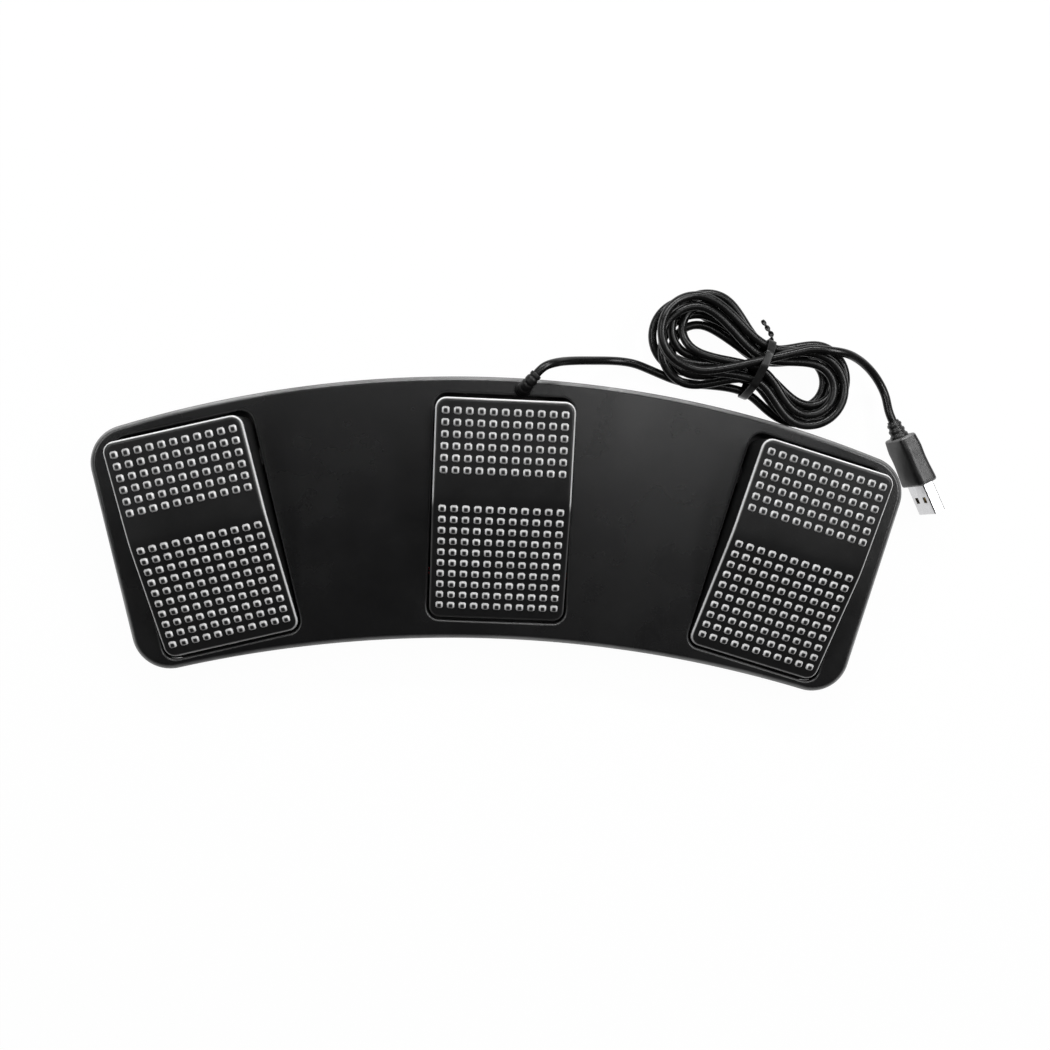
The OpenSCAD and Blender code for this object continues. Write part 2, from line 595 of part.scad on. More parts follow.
module cable_clamp() {
    color([0.1, 0.1, 0.1]) difference() {
        translate(raise(clamp_at, floor_z)) rotate([0, 0, clamp_turn]) pad(7, 6.4, 0.6, 5.4);
        translate(raise(clamp_at, run_z)) rotate([0, 0, clamp_turn]) across(0, 0, cable_r + 0.05, 12);
    }
}
module inner_cable() { color([0.08, 0.08, 0.08]) tube(inner_path, cable_r, 8, [0, 1, 0]); }
module cable_gland() {
    bend = concat([for (a = [0:15:90]) [gland_x, gland_y, gland_top + gland_bend * sin(a)]
        + gland_bend * (1 - cos(a)) * gland_out], [gland_end]);
    color([0.08, 0.08, 0.08]) {
        translate([gland_x, gland_y, run_top]) cylinder(h = top_z + 0.1 - run_top, r = 2.65);
        translate([gland_x, gland_y, top_z + 0.05]) cylinder(h = gland_top - top_z, r = 3.1);
        tube(bend, [for (i = [0:7]) 2.7 - 0.08 * i], 10, [cos(gland_turn), -sin(gland_turn), 0]);
    }
}
module cable_lead() { color([0.08, 0.08, 0.08]) tube(lead_path, cable_r, 8, [0, 0, 1]); }
module cable_hank() {
    echo(hank_gap = least(fine(hank_path), 9) - cable_d);
    color([0.08, 0.08, 0.08]) tube(hank_path, cable_r, 6, [0, 0, 1]);
}
module cable_tail() { color([0.08, 0.08, 0.08]) tube(tail_path, cable_r, 8, [0, 0, 1]); }

// the tie: a thin band round the waist, with its twisted end standing off to the back
module cable_tie() {
    out = 2.5 * waist_step + cable_r + 0.5;
    side = 1.5 * waist_step + cable_r + 0.5;
    crown = top_h + cable_r + 0.5;
    shape = [[-out, 0.6], [side, 0.6], [side, crown - layer_h], [4, crown], [-1.6, crown],
        [-side, crown - layer_h], [-out, 5.4]];
    color([0.05, 0.05, 0.05]) translate(raise(hank_at, 0)) rotate([0, 0, hank_turn]) {
        rotate([90, 0, 90]) translate([0, 0, -1.5]) linear_extrude(3) difference() {
            offset(delta = 0.5) polygon(shape);
            polygon(shape);
        }
        translate([0, side + 0.9, top_h - 7]) rotate([0, 0, 55]) translate([-1, 0, 0]) cube([2, 9, 1.2]);
    }
}

module plug_overmould() {
    color([0.07, 0.07, 0.07]) plug_place() {
        rotate([90, 0, 90]) pad(plug_w, plug_t, 1.6, plug_len);
        translate([-relief_len, 0, 0]) rotate([0, 90, 0]) cylinder(h = relief_len + 0.1, r = 2.2);
        for (i = [0:2]) translate([-relief_len + 0.8 + 2 * i, 0, 0]) rotate([0, 90, 0])
            cylinder(h = 1.1, r = 2.7 + 0.3 * i);
    }
}
module plug_shell() {
    color([0.78, 0.78, 0.8]) plug_place() translate([plug_len, 0, 0]) difference() {
        rotate([90, 0, 90]) pad(shell_w, shell_t, 0.5, shell_len);
        translate([-1, -shell_w / 2 + 0.3, -shell_t / 2 + 0.3])
            cube([shell_len + 2, shell_w - 0.6, shell_t - 0.6]);
        for (s = [-1, 1]) translate([shell_len - 7, s * 2.7 - 1.1, -5]) cube([2.4, 2.2, 10]);
    }
}
module plug_tongue() {
    color([0.92, 0.92, 0.92]) plug_place() translate([plug_len, -shell_w / 2 + 0.35, -shell_t / 2 + 0.35])
        cube([shell_len - 0.8, shell_w - 0.7, 1.8]);
}
module plug_contacts() {
    color([0.85, 0.7, 0.3]) plug_place() for (y = [-3.5, -1, 1, 3.5])
        translate([plug_len + 2, y - 0.5, -shell_t / 2 + 2.15]) cube([shell_len - 4, 1, 0.15]);
}

top_housing();
bottom_cover();
left_pedal();
middle_pedal();
right_pedal();
left_hinge_pin();
middle_hinge_pin();
right_hinge_pin();
left_return_spring();
middle_return_spring();
right_return_spring();
left_switch_board();
middle_switch_board();
right_switch_board();
left_switch_body();
middle_switch_body();
right_switch_body();
left_switch_plunger();
middle_switch_plunger();
right_switch_plunger();
left_switch_leads();
middle_switch_leads();
right_switch_leads();
main_board();
controller_chip();
crystal();
cable_header();
switch_headers();
board_screws();
housing_screws();
rubber_feet();
pedal_bumpers();
cable_clamp();
inner_cable();
cable_gland();
cable_lead();
cable_hank();
cable_tail();
cable_tie();
plug_overmould();
plug_shell();
plug_tongue();
plug_contacts();
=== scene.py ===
import math
import bmesh
import bpy
import numpy as np
from mathutils import Matrix
from mathutils.geometry import delaunay_2d_cdt


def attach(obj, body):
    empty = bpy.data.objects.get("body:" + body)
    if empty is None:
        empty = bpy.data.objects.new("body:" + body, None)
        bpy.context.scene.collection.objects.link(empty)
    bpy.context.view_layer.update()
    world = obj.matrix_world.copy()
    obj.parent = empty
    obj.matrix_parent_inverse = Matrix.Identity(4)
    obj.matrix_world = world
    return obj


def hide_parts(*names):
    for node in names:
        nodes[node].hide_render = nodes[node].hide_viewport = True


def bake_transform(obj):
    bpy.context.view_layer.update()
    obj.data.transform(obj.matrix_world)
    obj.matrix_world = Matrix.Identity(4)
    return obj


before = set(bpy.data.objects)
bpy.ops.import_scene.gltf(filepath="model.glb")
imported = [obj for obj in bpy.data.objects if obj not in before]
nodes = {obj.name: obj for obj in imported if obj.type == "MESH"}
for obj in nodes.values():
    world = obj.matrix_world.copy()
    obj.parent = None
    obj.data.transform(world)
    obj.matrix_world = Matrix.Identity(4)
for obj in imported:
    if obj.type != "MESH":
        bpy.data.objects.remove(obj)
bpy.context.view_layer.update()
scene = bpy.context.scene
scene.view_settings.view_transform = "Standard"
mm = 0.001  # sizes are in millimetres, apart from the stage's, with X right, Y back and Z up
print("frame loaded,", len(nodes), "nodes")


# camera: looks almost straight down, rolled a little clockwise
camera = {"place": (-11.84, 28.47, 491.43), "tilt": 3.155, "lean": 2.544, "roll": -2.422, "nearClip": 10.0,
          "focalPixels": 1288.1, "framePixels": 1050, "sensor": 36.0}


def turnAbout(axis, degrees):  # a turn about one axis, as three rows
    return np.array(Matrix.Rotation(math.radians(degrees), 3, axis))


# world to camera is lean about Y, then tilt about X, then roll about Z; the camera object takes the inverse
def makeCamera(c):
    turn = (turnAbout("Z", c["roll"]) @ turnAbout("X", c["tilt"]) @ turnAbout("Y", c["lean"])).T
    data = bpy.data.cameras.new("camera")
    data.sensor_fit, data.sensor_width = "HORIZONTAL", c["sensor"]
    data.lens = c["sensor"] * c["focalPixels"] / c["framePixels"]
    data.clip_start = c["nearClip"] * mm
    place = np.eye(4)
    place[:3, :3], place[:3, 3] = turn, np.array(c["place"]) * mm
    made = bpy.data.objects.new("camera", data)
    made.matrix_world = Matrix(place)
    scene.collection.objects.link(made)
    scene.camera = made


makeCamera(camera)
print("camera placed")


# small tools for arrays
def softStep(t):  # 0 to 1 with level ends: 3t^2 - 2t^3
    c = np.clip(t, 0, 1)
    return c * c * (3 - 2 * c)


def unitRows(a):  # each row divided by its length
    return a / np.linalg.norm(a, axis=-1, keepdims=True)


def ring(count):  # angles of a closed ring
    return 2 * np.pi * np.arange(count) / count


def stack(*columns):  # coordinates side by side, stretched to one common shape
    return np.stack(np.broadcast_arrays(*columns), -1).astype(float)


def atHeight(loop, z):  # points in plan lifted to one height, or each to its own
    return np.column_stack([loop, np.broadcast_to(z, len(loop))])


def squared(wave, power):  # a sine or cosine made fuller: its size to a power under 1, with its sign
    return np.sign(wave) * np.abs(wave) ** power


def heading(degrees):  # a level direction, turned from +X
    return np.array([math.cos(math.radians(degrees)), math.sin(math.radians(degrees)), 0.0])


def laid(p, angle, place):  # turned level by an angle in radians, then moved to a place in plan
    c, s = math.cos(angle), math.sin(angle)
    u, v = p[..., 0], p[..., 1]
    return stack(place[0] + u * c - v * s, place[1] + v * c + u * s, p[..., 2])


# quads of a grid of rows by columns, closed round the columns or the rows where asked
def gridQuads(rows, columns, closed=False, closedRows=False):
    r = np.arange(rows if closedRows else rows - 1)[:, None]
    c = np.arange(columns if closed else columns - 1)[None, :]
    here, after, nextC = r * columns, (r + 1) % rows * columns, (c + 1) % columns
    return np.stack([here + c, here + nextC, after + nextC, after + c], -1).reshape(-1, 4)


noQuads, noTris = np.zeros((0, 4), int), np.zeros((0, 3), int)


# a patch is its points, its quads and its triangles; a value from 0 to 1 for paler edges, partly rubbed
# wear and partly painted highlight, goes with each point
def gridPatch(points, closed=False, closedRows=False, wearAndHighlight=0.0):
    rows, columns = points.shape[:2]
    wornAndHighlight = np.broadcast_to(wearAndHighlight, (rows, columns))
    return points.reshape(-1, 3), gridQuads(rows, columns, closed, closedRows), noTris, wornAndHighlight.ravel()


# closes a ring with a fan of triangles to its middle
def capPatch(loop, flip=False):
    n = len(loop)
    i = np.arange(n)
    tris = np.stack([i, (i + 1) % n, np.full(n, n)], -1)
    return np.vstack([loop, loop.mean(0)]), noQuads, tris[:, ::-1] if flip else tris, np.zeros(n + 1)


def closedTube(rows, wearAndHighlight=0.0):  # a grid closed round its columns, with a cap at each end
    return [gridPatch(rows, closed=True, wearAndHighlight=wearAndHighlight), capPatch(rows[0], True), capPatch(rows[-1])]


def profileWearAndHighlight(profile):  # the last value of each step of a profile, as a column
    return np.array([step[-1] for step in profile])[:, None]


# patches one after the other, with their corner numbers moved on by the points before them
def joinPatches(patches):
    offsets = np.cumsum([0] + [len(p[0]) for p in patches[:-1]])
    return (np.vstack([p[0] for p in patches]),
            np.vstack([p[1] + o for p, o in zip(patches, offsets)]),
            np.vstack([p[2] + o for p, o in zip(patches, offsets)]),
            np.concatenate([p[3] for p in patches]))


# a mesh object from patches: seams welded, faces turned outwards, edges over sharpAngle kept crisp
def makePiece(name, patches, body, material, sharpAngle=50, weld=0.004):
    points, quads, tris, wearAndHighlight = joinPatches(patches)
    corners = np.concatenate([quads.ravel(), tris.ravel()]).astype(np.int32)
    sizes = np.concatenate([np.full(len(quads), 4), np.full(len(tris), 3)])
    mesh = bpy.data.meshes.new(name)
    mesh.vertices.add(len(points))
    mesh.vertices.foreach_set("co", (points * mm).astype(np.float32).ravel())
    mesh.loops.add(len(corners))
    mesh.loops.foreach_set("vertex_index", corners)
    mesh.polygons.add(len(sizes))
    mesh.polygons.foreach_set("loop_start", np.concatenate([[0], np.cumsum(sizes)[:-1]]).astype(np.int32))
    mesh.update(calc_edges=True)
    mesh.attributes.new("wearAndHighlight", "FLOAT", "POINT").data.foreach_set("value", wearAndHighlight.astype(np.float32))
    bm = bmesh.new()
    bm.from_mesh(mesh)
    bmesh.ops.remove_doubles(bm, verts=bm.verts, dist=weld * mm)
    bmesh.ops.dissolve_degenerate(bm, edges=bm.edges, dist=weld * mm / 2)
    bmesh.ops.recalc_face_normals(bm, faces=bm.faces)
    bm.to_mesh(mesh)
    bm.free()
    mesh.polygons.foreach_set("use_smooth", np.ones(len(mesh.polygons), bool))
    mesh.set_sharp_from_angle(angle=math.radians(sharpAngle))
    mesh.materials.append(material)
    made = bpy.data.objects.new(name, mesh)
    scene.collection.objects.link(made)
    if body:
        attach(made, body)
    print("piece", name, len(mesh.polygons), "faces")
    return made


def nodeMaterial(name):  # a new material with its node tree and its shader
    material = bpy.data.materials.new(name)
    material.use_nodes = True
    tree = material.node_tree
    return material, tree, tree.nodes["Principled BSDF"]


def feed(tree, node, inputs):  # an input is a link where a socket is given, else a plain value
    for key, value in inputs.items():
        if isinstance(value, bpy.types.NodeSocket):
            tree.links.new(value, node.inputs[key])
        else:
            node.inputs[key].default_value = value


def addNode(tree, kind, inputs=None, **settings):
    node = tree.nodes.new(kind)
    for key, value in settings.items():
        setattr(node, key, value)
    feed(tree, node, inputs or {})
    return node


def objectPlace(tree):
    return addNode(tree, "ShaderNodeTexCoord").outputs["Object"]


def grainNoise(tree, where, scale, detail=2, rough=0.5):  # cloudy values about a half, finer with scale
    inputs = {"Vector": where, "Scale": scale, "Detail": detail, "Roughness": rough}
    return addNode(tree, "ShaderNodeTexNoise", inputs).outputs["Fac"]


def remap(tree, value, low, high, toLow, toHigh):  # a straight map from one range to another
    return addNode(tree, "ShaderNodeMapRange", {"Value": value, "From Min": low, "From Max": high,
                                                "To Min": toLow, "To Max": toHigh}).outputs["Result"]


noiseLow, noiseHigh = 0.3, 0.7  # nearly all of a noise's values lie between these


def spreadNoise(tree, noise, toLow, toHigh):  # a noise stretched over a range
    return remap(tree, noise, noiseLow, noiseHigh, toLow, toHigh)


def combine(tree, operation, a, b):  # two values into one
    return addNode(tree, "ShaderNodeMath", {0: a, 1: b}, operation=operation).outputs[0]


def mixColour(tree, factor, a, b):  # from colour a at 0 to colour b at 1
    return addNode(tree, "ShaderNodeMix", {0: factor, 6: a, 7: b}, data_type="RGBA").outputs[2]


def bumped(tree, height, depth, strength):  # shading tilted by the slope of a height, depth in millimetres
    inputs = {"Strength": strength, "Distance": depth * mm, "Height": height}
    return addNode(tree, "ShaderNodeBump", inputs).outputs["Normal"]


def grey(v, tint=0.0):
    return (v, v, v + tint, 1.0)


def toned(colour, share):  # a colour made lighter or darker
    return tuple(c * share for c in colour[:3]) + (1,)


# moulded plastic: grain as bump, cloudy roughness, faint dust, and paler edges by the per-point value,
# which stands partly for rubbed wear and partly for painted highlight
moulded = {"cloudTone": 1.22, "speckScale": 0.33, "speckFrom": 0.60, "speckTo": 0.72, "dustTone": 0.12,
           "smoother": 0.05, "rougher": 0.06}


def plastic(name, colour, wornAndHighlight, rough, grain, depth, cloud, spec, dust=0.0, rubAndHighlight=0.35, m=moulded):
    material, tree, shader = nodeMaterial(name)
    where = objectPlace(tree)
    fine = grainNoise(tree, where, grain, detail=2, rough=0.6)
    cloudy = grainNoise(tree, where, cloud, detail=4, rough=0.6)
    speck = grainNoise(tree, where, grain * m["speckScale"], detail=3, rough=0.7)
    # the paler edge colour is partly rubbed wear and partly a painted highlight along rims and stud edges
    wearAndHighlight = addNode(tree, "ShaderNodeAttribute", attribute_name="wearAndHighlight").outputs["Fac"]
    broken = combine(tree, "MULTIPLY", wearAndHighlight, spreadNoise(tree, cloudy, rubAndHighlight, 1.0))
    tone = mixColour(tree, spreadNoise(tree, cloudy, 0.0, 1.0), colour, toned(colour, m["cloudTone"]))
    dusty = remap(tree, speck, m["speckFrom"], m["speckTo"], 0.0, dust)
    tone = mixColour(tree, dusty, tone, grey(m["dustTone"]))
    feed(tree, shader, {"Base Color": mixColour(tree, broken, tone, wornAndHighlight), "Specular IOR Level": spec,
                        "Roughness": spreadNoise(tree, cloudy, rough - m["smoother"], rough + m["rougher"]),
                        "Normal": bumped(tree, fine, depth, 1.0)})
    return material


# bare metal: drawn streaks along one axis, roughness from the same streaks, and faint stains
drawnMetal = {"stainScale": 160.0, "stainFrom": 0.45, "stainTo": 0.75, "stain": 0.6,
              "smoother": 0.06, "rougher": 0.1, "depth": 0.02, "bump": 0.25}


def metal(name, colour, stained, rough, stretch=(40, 900, 900), m=drawnMetal):
    material, tree, shader = nodeMaterial(name)
    where = objectPlace(tree)
    drawn = addNode(tree, "ShaderNodeMapping", {"Vector": where, "Scale": stretch}).outputs["Vector"]
    streak = grainNoise(tree, drawn, 1.0, detail=3, rough=0.6)
    stain = grainNoise(tree, where, m["stainScale"], detail=4, rough=0.6)
    share = remap(tree, stain, m["stainFrom"], m["stainTo"], 0.0, m["stain"])
    feed(tree, shader, {"Base Color": mixColour(tree, share, colour, stained), "Metallic": 1.0,
                        "Roughness": spreadNoise(tree, streak, rough - m["smoother"], rough + m["rougher"]),
                        "Normal": bumped(tree, streak, m["depth"], m["bump"])})
    return material


# a circuit board: solder mask with a faint weave and darker tracks in a square grid
boardMask = {"lanes": 420.0, "track": 0.035, "second": 0.86, "weave": 1800.0, "smooth": 0.28, "rough": 0.42,
             "depth": 0.05, "bump": 0.5}


def boardMaterial(name, mask, track, m=boardMask):
    material, tree, shader = nodeMaterial(name)
    where = objectPlace(tree)
    lanes = addNode(tree, "ShaderNodeTexBrick", {
        "Vector": where, "Scale": m["lanes"], "Mortar Size": m["track"], "Color1": mask,
        "Color2": toned(mask, m["second"]), "Mortar": track})
    weave = grainNoise(tree, where, m["weave"])
    feed(tree, shader, {"Base Color": lanes.outputs["Color"],
                        "Roughness": spreadNoise(tree, weave, m["smooth"], m["rough"]),
                        "Normal": bumped(tree, weave, m["depth"], m["bump"])})
    return material


cream, wornCream = (0.72, 0.69, 0.60, 1), (0.80, 0.77, 0.70, 1)
red, wornRed = (0.42, 0.035, 0.03, 1), (0.55, 0.10, 0.08, 1)
# a plastic's numbers: roughness, grain, its depth, clouds, shine, dust and how evenly the paler edges, wear
# and painted highlight, are broken up
finish = {
    # the second colour is for paler edges: near white on pedals and studs as painted highlight, lighter
    # grey on housing and plug as wear and painted highlight
    "housing": plastic("housing_black", grey(0.003, 0.0002), grey(0.36), 0.25, 2400, 0.03, 30, 0.38, 0.02),
    "pedal": plastic("pedal_black", grey(0.006, 0.0002), grey(0.92), 0.34, 2600, 0.03, 40, 0.45,
                     0.04, 0.75),
    "stud": plastic("stud_black", grey(0.008, 0.0002), grey(0.94), 0.30, 2600, 0.02, 160, 0.5, 0.06, 0.7),
    "cover": plastic("cover_black", grey(0.010), grey(0.03), 0.55, 1800, 0.08, 45, 0.4, 0.10),
    "rubber": plastic("foot_rubber", grey(0.012), grey(0.03), 0.78, 3000, 0.10, 160, 0.3, 0.20),
    "cable": plastic("cable_jacket", grey(0.003), grey(0.03), 0.27, 3200, 0.02, 220, 0.36, 0.03),
    "gland": plastic("gland_rubber", grey(0.006), grey(0.03), 0.42, 3000, 0.04, 240, 0.36, 0.06),
    "tie": plastic("tie_coating", grey(0.007), grey(0.03), 0.32, 2500, 0.03, 300, 0.5, 0.08),
    "plug": plastic("plug_overmould_black", grey(0.014), grey(0.30), 0.34, 2200, 0.05, 180, 0.5, 0.10),
    "chip": plastic("chip_black", grey(0.02), grey(0.05), 0.5, 2600, 0.05, 90, 0.4),
    "header": plastic("header_cream", cream, wornCream, 0.45, 2400, 0.04, 90, 0.5),
    "plunger": plastic("plunger_red", red, wornRed, 0.38, 2400, 0.04, 90, 0.5),
    "lead": plastic("lead_red", (0.40, 0.02, 0.02, 1), (0.5, 0.1, 0.1, 1), 0.42, 2600, 0.03, 200, 0.5),
    "steel": metal("pin_steel", grey(0.56, 0.01), grey(0.38), 0.30),
    "spring": metal("spring_wire", grey(0.50, 0.01), grey(0.30), 0.32, (700, 700, 60)),
    "shell": metal("plug_shell_steel", grey(0.66, 0.01), grey(0.50), 0.26, (900, 120, 900)),
    "contact": metal("contact_gilt", (0.80, 0.56, 0.20, 1), (0.62, 0.40, 0.14, 1), 0.25),
    "board": boardMaterial("board_green", (0.02, 0.13, 0.05, 1), (0.012, 0.085, 0.035, 1)),
}
print("finishes made:", len(finish))


# base plan: two long arcs, two leaning ends and four round corners
base = {"span": 306.8, "depth": 97.2, "backRadius": 426.6, "frontRadius": 459.6, "lean": 15.0,
        "corner": 14.0, "top": 15.0, "under": 12.5, "low": 1.5, "wall": 2.2, "rim": 2.0,
        "arcSteps": 48, "cornerSteps": 20}


# centres of the back and front arcs, then of the right-hand corners: a corner's centre is where a line
# beside the leaning end meets a circle about its arc's centre
def baseCentres(b):
    half, lean = b["span"] / 2, math.radians(b["lean"])
    back, front = np.array([0, -b["backRadius"]]), np.array([0, -b["depth"] - b["frontRadius"]])
    sharp = np.array([half, math.sqrt(b["backRadius"] ** 2 - half ** 2) - b["backRadius"]])
    along = np.array([-math.sin(lean), -math.cos(lean)])
    r, line = b["corner"], sharp + b["corner"] * np.array([-math.cos(lean), math.sin(lean)])

    def meet(centre, radius):
        q = line - centre
        return line + (-(q @ along) - math.sqrt((q @ along) ** 2 - q @ q + radius ** 2)) * along

    return back, front, meet(back, b["backRadius"] - r), meet(front, b["frontRadius"] + r)


backCentre, frontCentre, backCorner, frontCorner = baseCentres(base)
middleY = (frontCorner[1] - base["corner"]) / 2
halfDepth = -middleY
halfWidth = backCorner[0] + base["corner"]


# pedals lie on a fan; side is 1 for the left one, 0 for the middle and -1 for the right
fan = {"radius": 416.5, "bendBack": 3.0, "inset": 45.6, "turn": 15.0}
fanY = halfDepth - base["depth"] / 2 + fan["bendBack"] - fan["radius"]
spread = math.asin((base["span"] / 2 - fan["inset"]) / fan["radius"])
sideOf = {"left": 1, "middle": 0, "right": -1}


def onFan(radius, swing):  # a place on the fan, swung to the left by an angle in radians
    return -radius * math.sin(swing), fanY + radius * math.cos(swing)


def onPedal(p, side):  # from a pedal's own across, back and up to the whole object's frame
    return laid(p, math.radians(side * fan["turn"]), onFan(fan["radius"], side * spread))


# cable: a gland on the housing, a lead to the hank of looped turns and a tail to the plug; the folds are
# looser than in the solids
gland = {"x": 6.5, "y": halfDepth - 4.2, "low": 12.3, "top": 16.4, "bend": 6.5, "turn": 39.0, "lip": 0.5,
         "foot": 2.2, "footEdge": 0.3, "sleeve": 2.65, "collar": 3.1, "collarLow": 15.03, "seam": 0.01,
         "collarFoot": [(0, 0.35), (0.15, 0.1), (0.4, 0)],  # up from the collar's foot, in from its side
         "collarTop": [(0.45, 0), (0.15, 0.12), (0, 0.35)],  # down from the collar's top, in from its side
         "wide": 2.7, "narrow": 2.14, "bendFrom": 0.03, "bendSteps": 56, "sides": 24,
         "grooves": 4, "groove": 0.32, "grooveShift": 0.08, "grooveFrom": 0.1, "grooveTo": 0.95,
         "lipRound": [(0.5, 0), (0.9, 0.08), (1, 0.25)]}  # share of the lip's length, in from its side
plug = {"place": (halfWidth - 0.4, halfDepth - 15.4, 8.402), "turn": -63.0, "roll": 79.0,
        "width": 15.5, "thick": 7.8, "length": 19.5, "corner": 1.9, "edge": 0.9, "waist": 0.45,
        "edgeSteps": 6, "sections": 18, "shoulderEnd": 0.32, "shoulderWide": 2.08, "shoulderThick": 0.65,
        "rubAndHighlight": 0.6, "reliefLength": 6.5, "reliefIn": 0.3, "reliefSmall": 2.5, "reliefLarge": 3.55,
        "reliefSteps": 64, "reliefSides": 28, "ribs": 3, "ribDepth": 0.4, "ribShift": 0.6, "ribPower": 0.35}
cable = {"diameter": 3.2, "loopGap": 0.65, "waistGap": 0.55, "layerGap": 0.55, "layers": 4, "rest": 0.9,
         "foldIn": 3,  # radius of the inner folds in diameters
         "foldLeft": 28.5, "foldRight": 21.0,  # from the waist to the middle of each fold
         "looseLeft": [(0, 0), (5, -4), (5, 4), (1, 1)],  # each layer's folds drawn in, then moved back
         "looseRight": [(0, 0), (4, 0), (1, 2), (1, -2)],
         "lag": 0.05, "ease": 0.07, "phase": 0.11, "start": -0.235,  # in turns
         "leadIn": (8.0, 4.0), "place": (halfWidth - 55.4, halfDepth + 9.4), "turn": -20.4,
         "samplesPerTurn": 48, "spacing": 1.0, "rounds": 6, "sides": 14, "upright": (0.02, 0.03, 1.0)}
# steps across and up between strands, the inner fold, the lowest strand, the step at the waist and the top
hank = {"across": cable["diameter"] + cable["loopGap"], "up": cable["diameter"] + cable["layerGap"],
        "fold": cable["foldIn"] * cable["diameter"], "low": cable["rest"] + cable["diameter"] / 2}
hank["waist"] = hank["across"] + cable["waistGap"]
hank["top"] = hank["low"] + cable["layers"] * hank["up"]
# share of the way from end to end, a side step in x and y, then a height
leadVia = np.array([[0.14, 0.4, 3.8, 20.6], [0.22, 0.4, 4.4, 16.6], [0.35, 0.2, 4.6, 12.2],
                    [0.5, 0, 4.5, 7.8], [0.64, 0, 4.3, 4.6], [0.78, 0, 3.6, 3], [0.9, 0, 2.1, 2.6]])
tailVia = np.array([[0.26, 0.4, 6.9, 17.5], [0.4, 1.4, 9.7, 16.2], [0.53, 2, 11.2, 12.8],
                    [0.66, 2.6, 11.2, 9.2], [0.78, 2.7, 9.6, 6.8], [0.88, 1.8, 7, 6.4]])
# the last strand crosses over the waist through these places along and across the hank
crossPoints = np.array([[-21, -11.9], [-14, -8.3], [-7, -3.6], [0, 1.4], [7, 6.4], [11, 9.3]])


# one loop seen from above: two folds of half a circle joined by runs that draw together at the waist;
# a turn has 24 parts, 3 for half a run and 6 for a fold, and sets out from the waist to the right
def loopAt(turn, side, c, h):
    q = 24 * (turn - np.floor(turn))
    onRight, onBack = q < 12, (q >= 9) & (q < 15)
    inFold = ((q >= 3) & (q < 9)) | ((q >= 15) & (q < 21))
    layer = np.clip(np.floor(turn).astype(int) // 2, 0, c["layers"] - 1)
    loose = np.where(onRight[:, None], np.array(c["looseRight"])[layer], np.array(c["looseLeft"])[layer])
    reach = np.where(onRight, c["foldRight"], c["foldLeft"]) - loose[:, 0]
    run = np.where(inFold, 1, np.minimum(q % 12, 12 - q % 12) / 3)
    r, narrow = h["fold"] + side * h["across"], (0.5 + side) * h["waist"]
    width = narrow + (r - narrow) * softStep(run)
    a = np.radians(30 * q - np.where(onRight, 180, 360))
    x = np.where(onRight, 1, -1) * reach * run + np.where(inFold, r * np.cos(a), 0)
    y = np.where(inFold, r * np.sin(a), np.where(onBack, width, -width)) + loose[:, 1] * softStep(run)
    return x, y


# the n-th place in the stack: steps out in its layer, and its layer; the lead comes before the first
def stackPlace(n):
    out = np.where(n < 0, 2, np.array([1, 0, 0, 1])[n % 4])
    return out.astype(float), np.maximum(n // 2, 0).astype(float)


# the strand goes round and round, moving to the next place in the stack a little before each full turn
def strandAt(t, c, h):
    stay = 1 - c["lag"]
    n = np.floor(t / stay + 0.5).astype(int)
    move = softStep((t - n * stay) / (2 * c["ease"]) + 0.5)
    side, layer = (a + (b - a) * move for a, b in zip(stackPlace(n - 1), stackPlace(n)))
    x, y = loopAt(t + c["phase"], side, c, h)
    return stack(x, y, h["low"] + layer * h["up"])


# a curve through points: cubic pieces whose tangents weigh the two neighbouring chords by length
def smoothThrough(p, spacing, pieces=12):
    d = np.linalg.norm(np.diff(p, axis=0), axis=1)
    slope = np.diff(p, axis=0) / d[:, None]
    m = np.empty_like(p)
    m[1:-1] = (slope[:-1] * d[1:, None] + slope[1:] * d[:-1, None]) / (d[1:] + d[:-1])[:, None]
    m[0], m[-1] = slope[0], slope[-1]
    t = (np.arange(pieces) / pieces)[None, :, None]
    a, b, h = p[:-1, None], p[1:, None], d[:, None, None]
    fine = a * (2 * t**3 - 3 * t**2 + 1) + b * (3 * t**2 - 2 * t**3)
    fine += m[:-1, None] * h * (t**3 - 2 * t**2 + t) + m[1:, None] * h * (t**3 - t**2)
    return evenly(np.vstack([fine.reshape(-1, 3), p[-1:]]), spacing)


def evenly(p, spacing):  # the same curve at an even spacing
    s = np.concatenate([[0], np.cumsum(np.linalg.norm(np.diff(p, axis=0), axis=1))])
    to = np.linspace(0, s[-1], max(2, int(round(s[-1] / spacing)) + 1))
    return np.stack([np.interp(to, s, p[:, i]) for i in range(3)], -1)


def relax(p, rounds):  # each inner point moves to a weighted mean of itself and its neighbours
    p = p.copy()
    for _ in range(rounds):
        p[2:-2] = 0.25 * p[1:-3] + 0.5 * p[2:-2] + 0.25 * p[3:-1]
    return p


# a section carried along a path: the side vector is a fixed direction made square to the path
def carry(path, section, upright, scale):
    t = unitRows(np.gradient(path, axis=0))
    n = unitRows(np.array(upright) - (t @ np.array(upright))[:, None] * t)
    b = np.cross(t, n)
    s = np.broadcast_to(np.asarray(scale, float), (len(path),))[:, None, None]
    return path[:, None] + s * (section[None, :, :1] * n[:, None] + section[None, :, 1:] * b[:, None])


def tubePatches(path, radius, sides, upright):  # a circle carried along a path, of one radius or many
    a = ring(sides)
    return closedTube(carry(path, np.stack([np.cos(a), np.sin(a)], -1), upright, radius))


def onHank(p, c):  # from the hank's own along, across and up to the whole object's frame
    return laid(p, math.radians(c["turn"]), c["place"])


def via(start, stop, steps):  # places a share of the way along, stepped aside, each at its own height
    level = start[:2] + steps[:, :1] * (stop - start)[:2] + steps[:, 1:3]
    return atHeight(level, steps[:, 3])


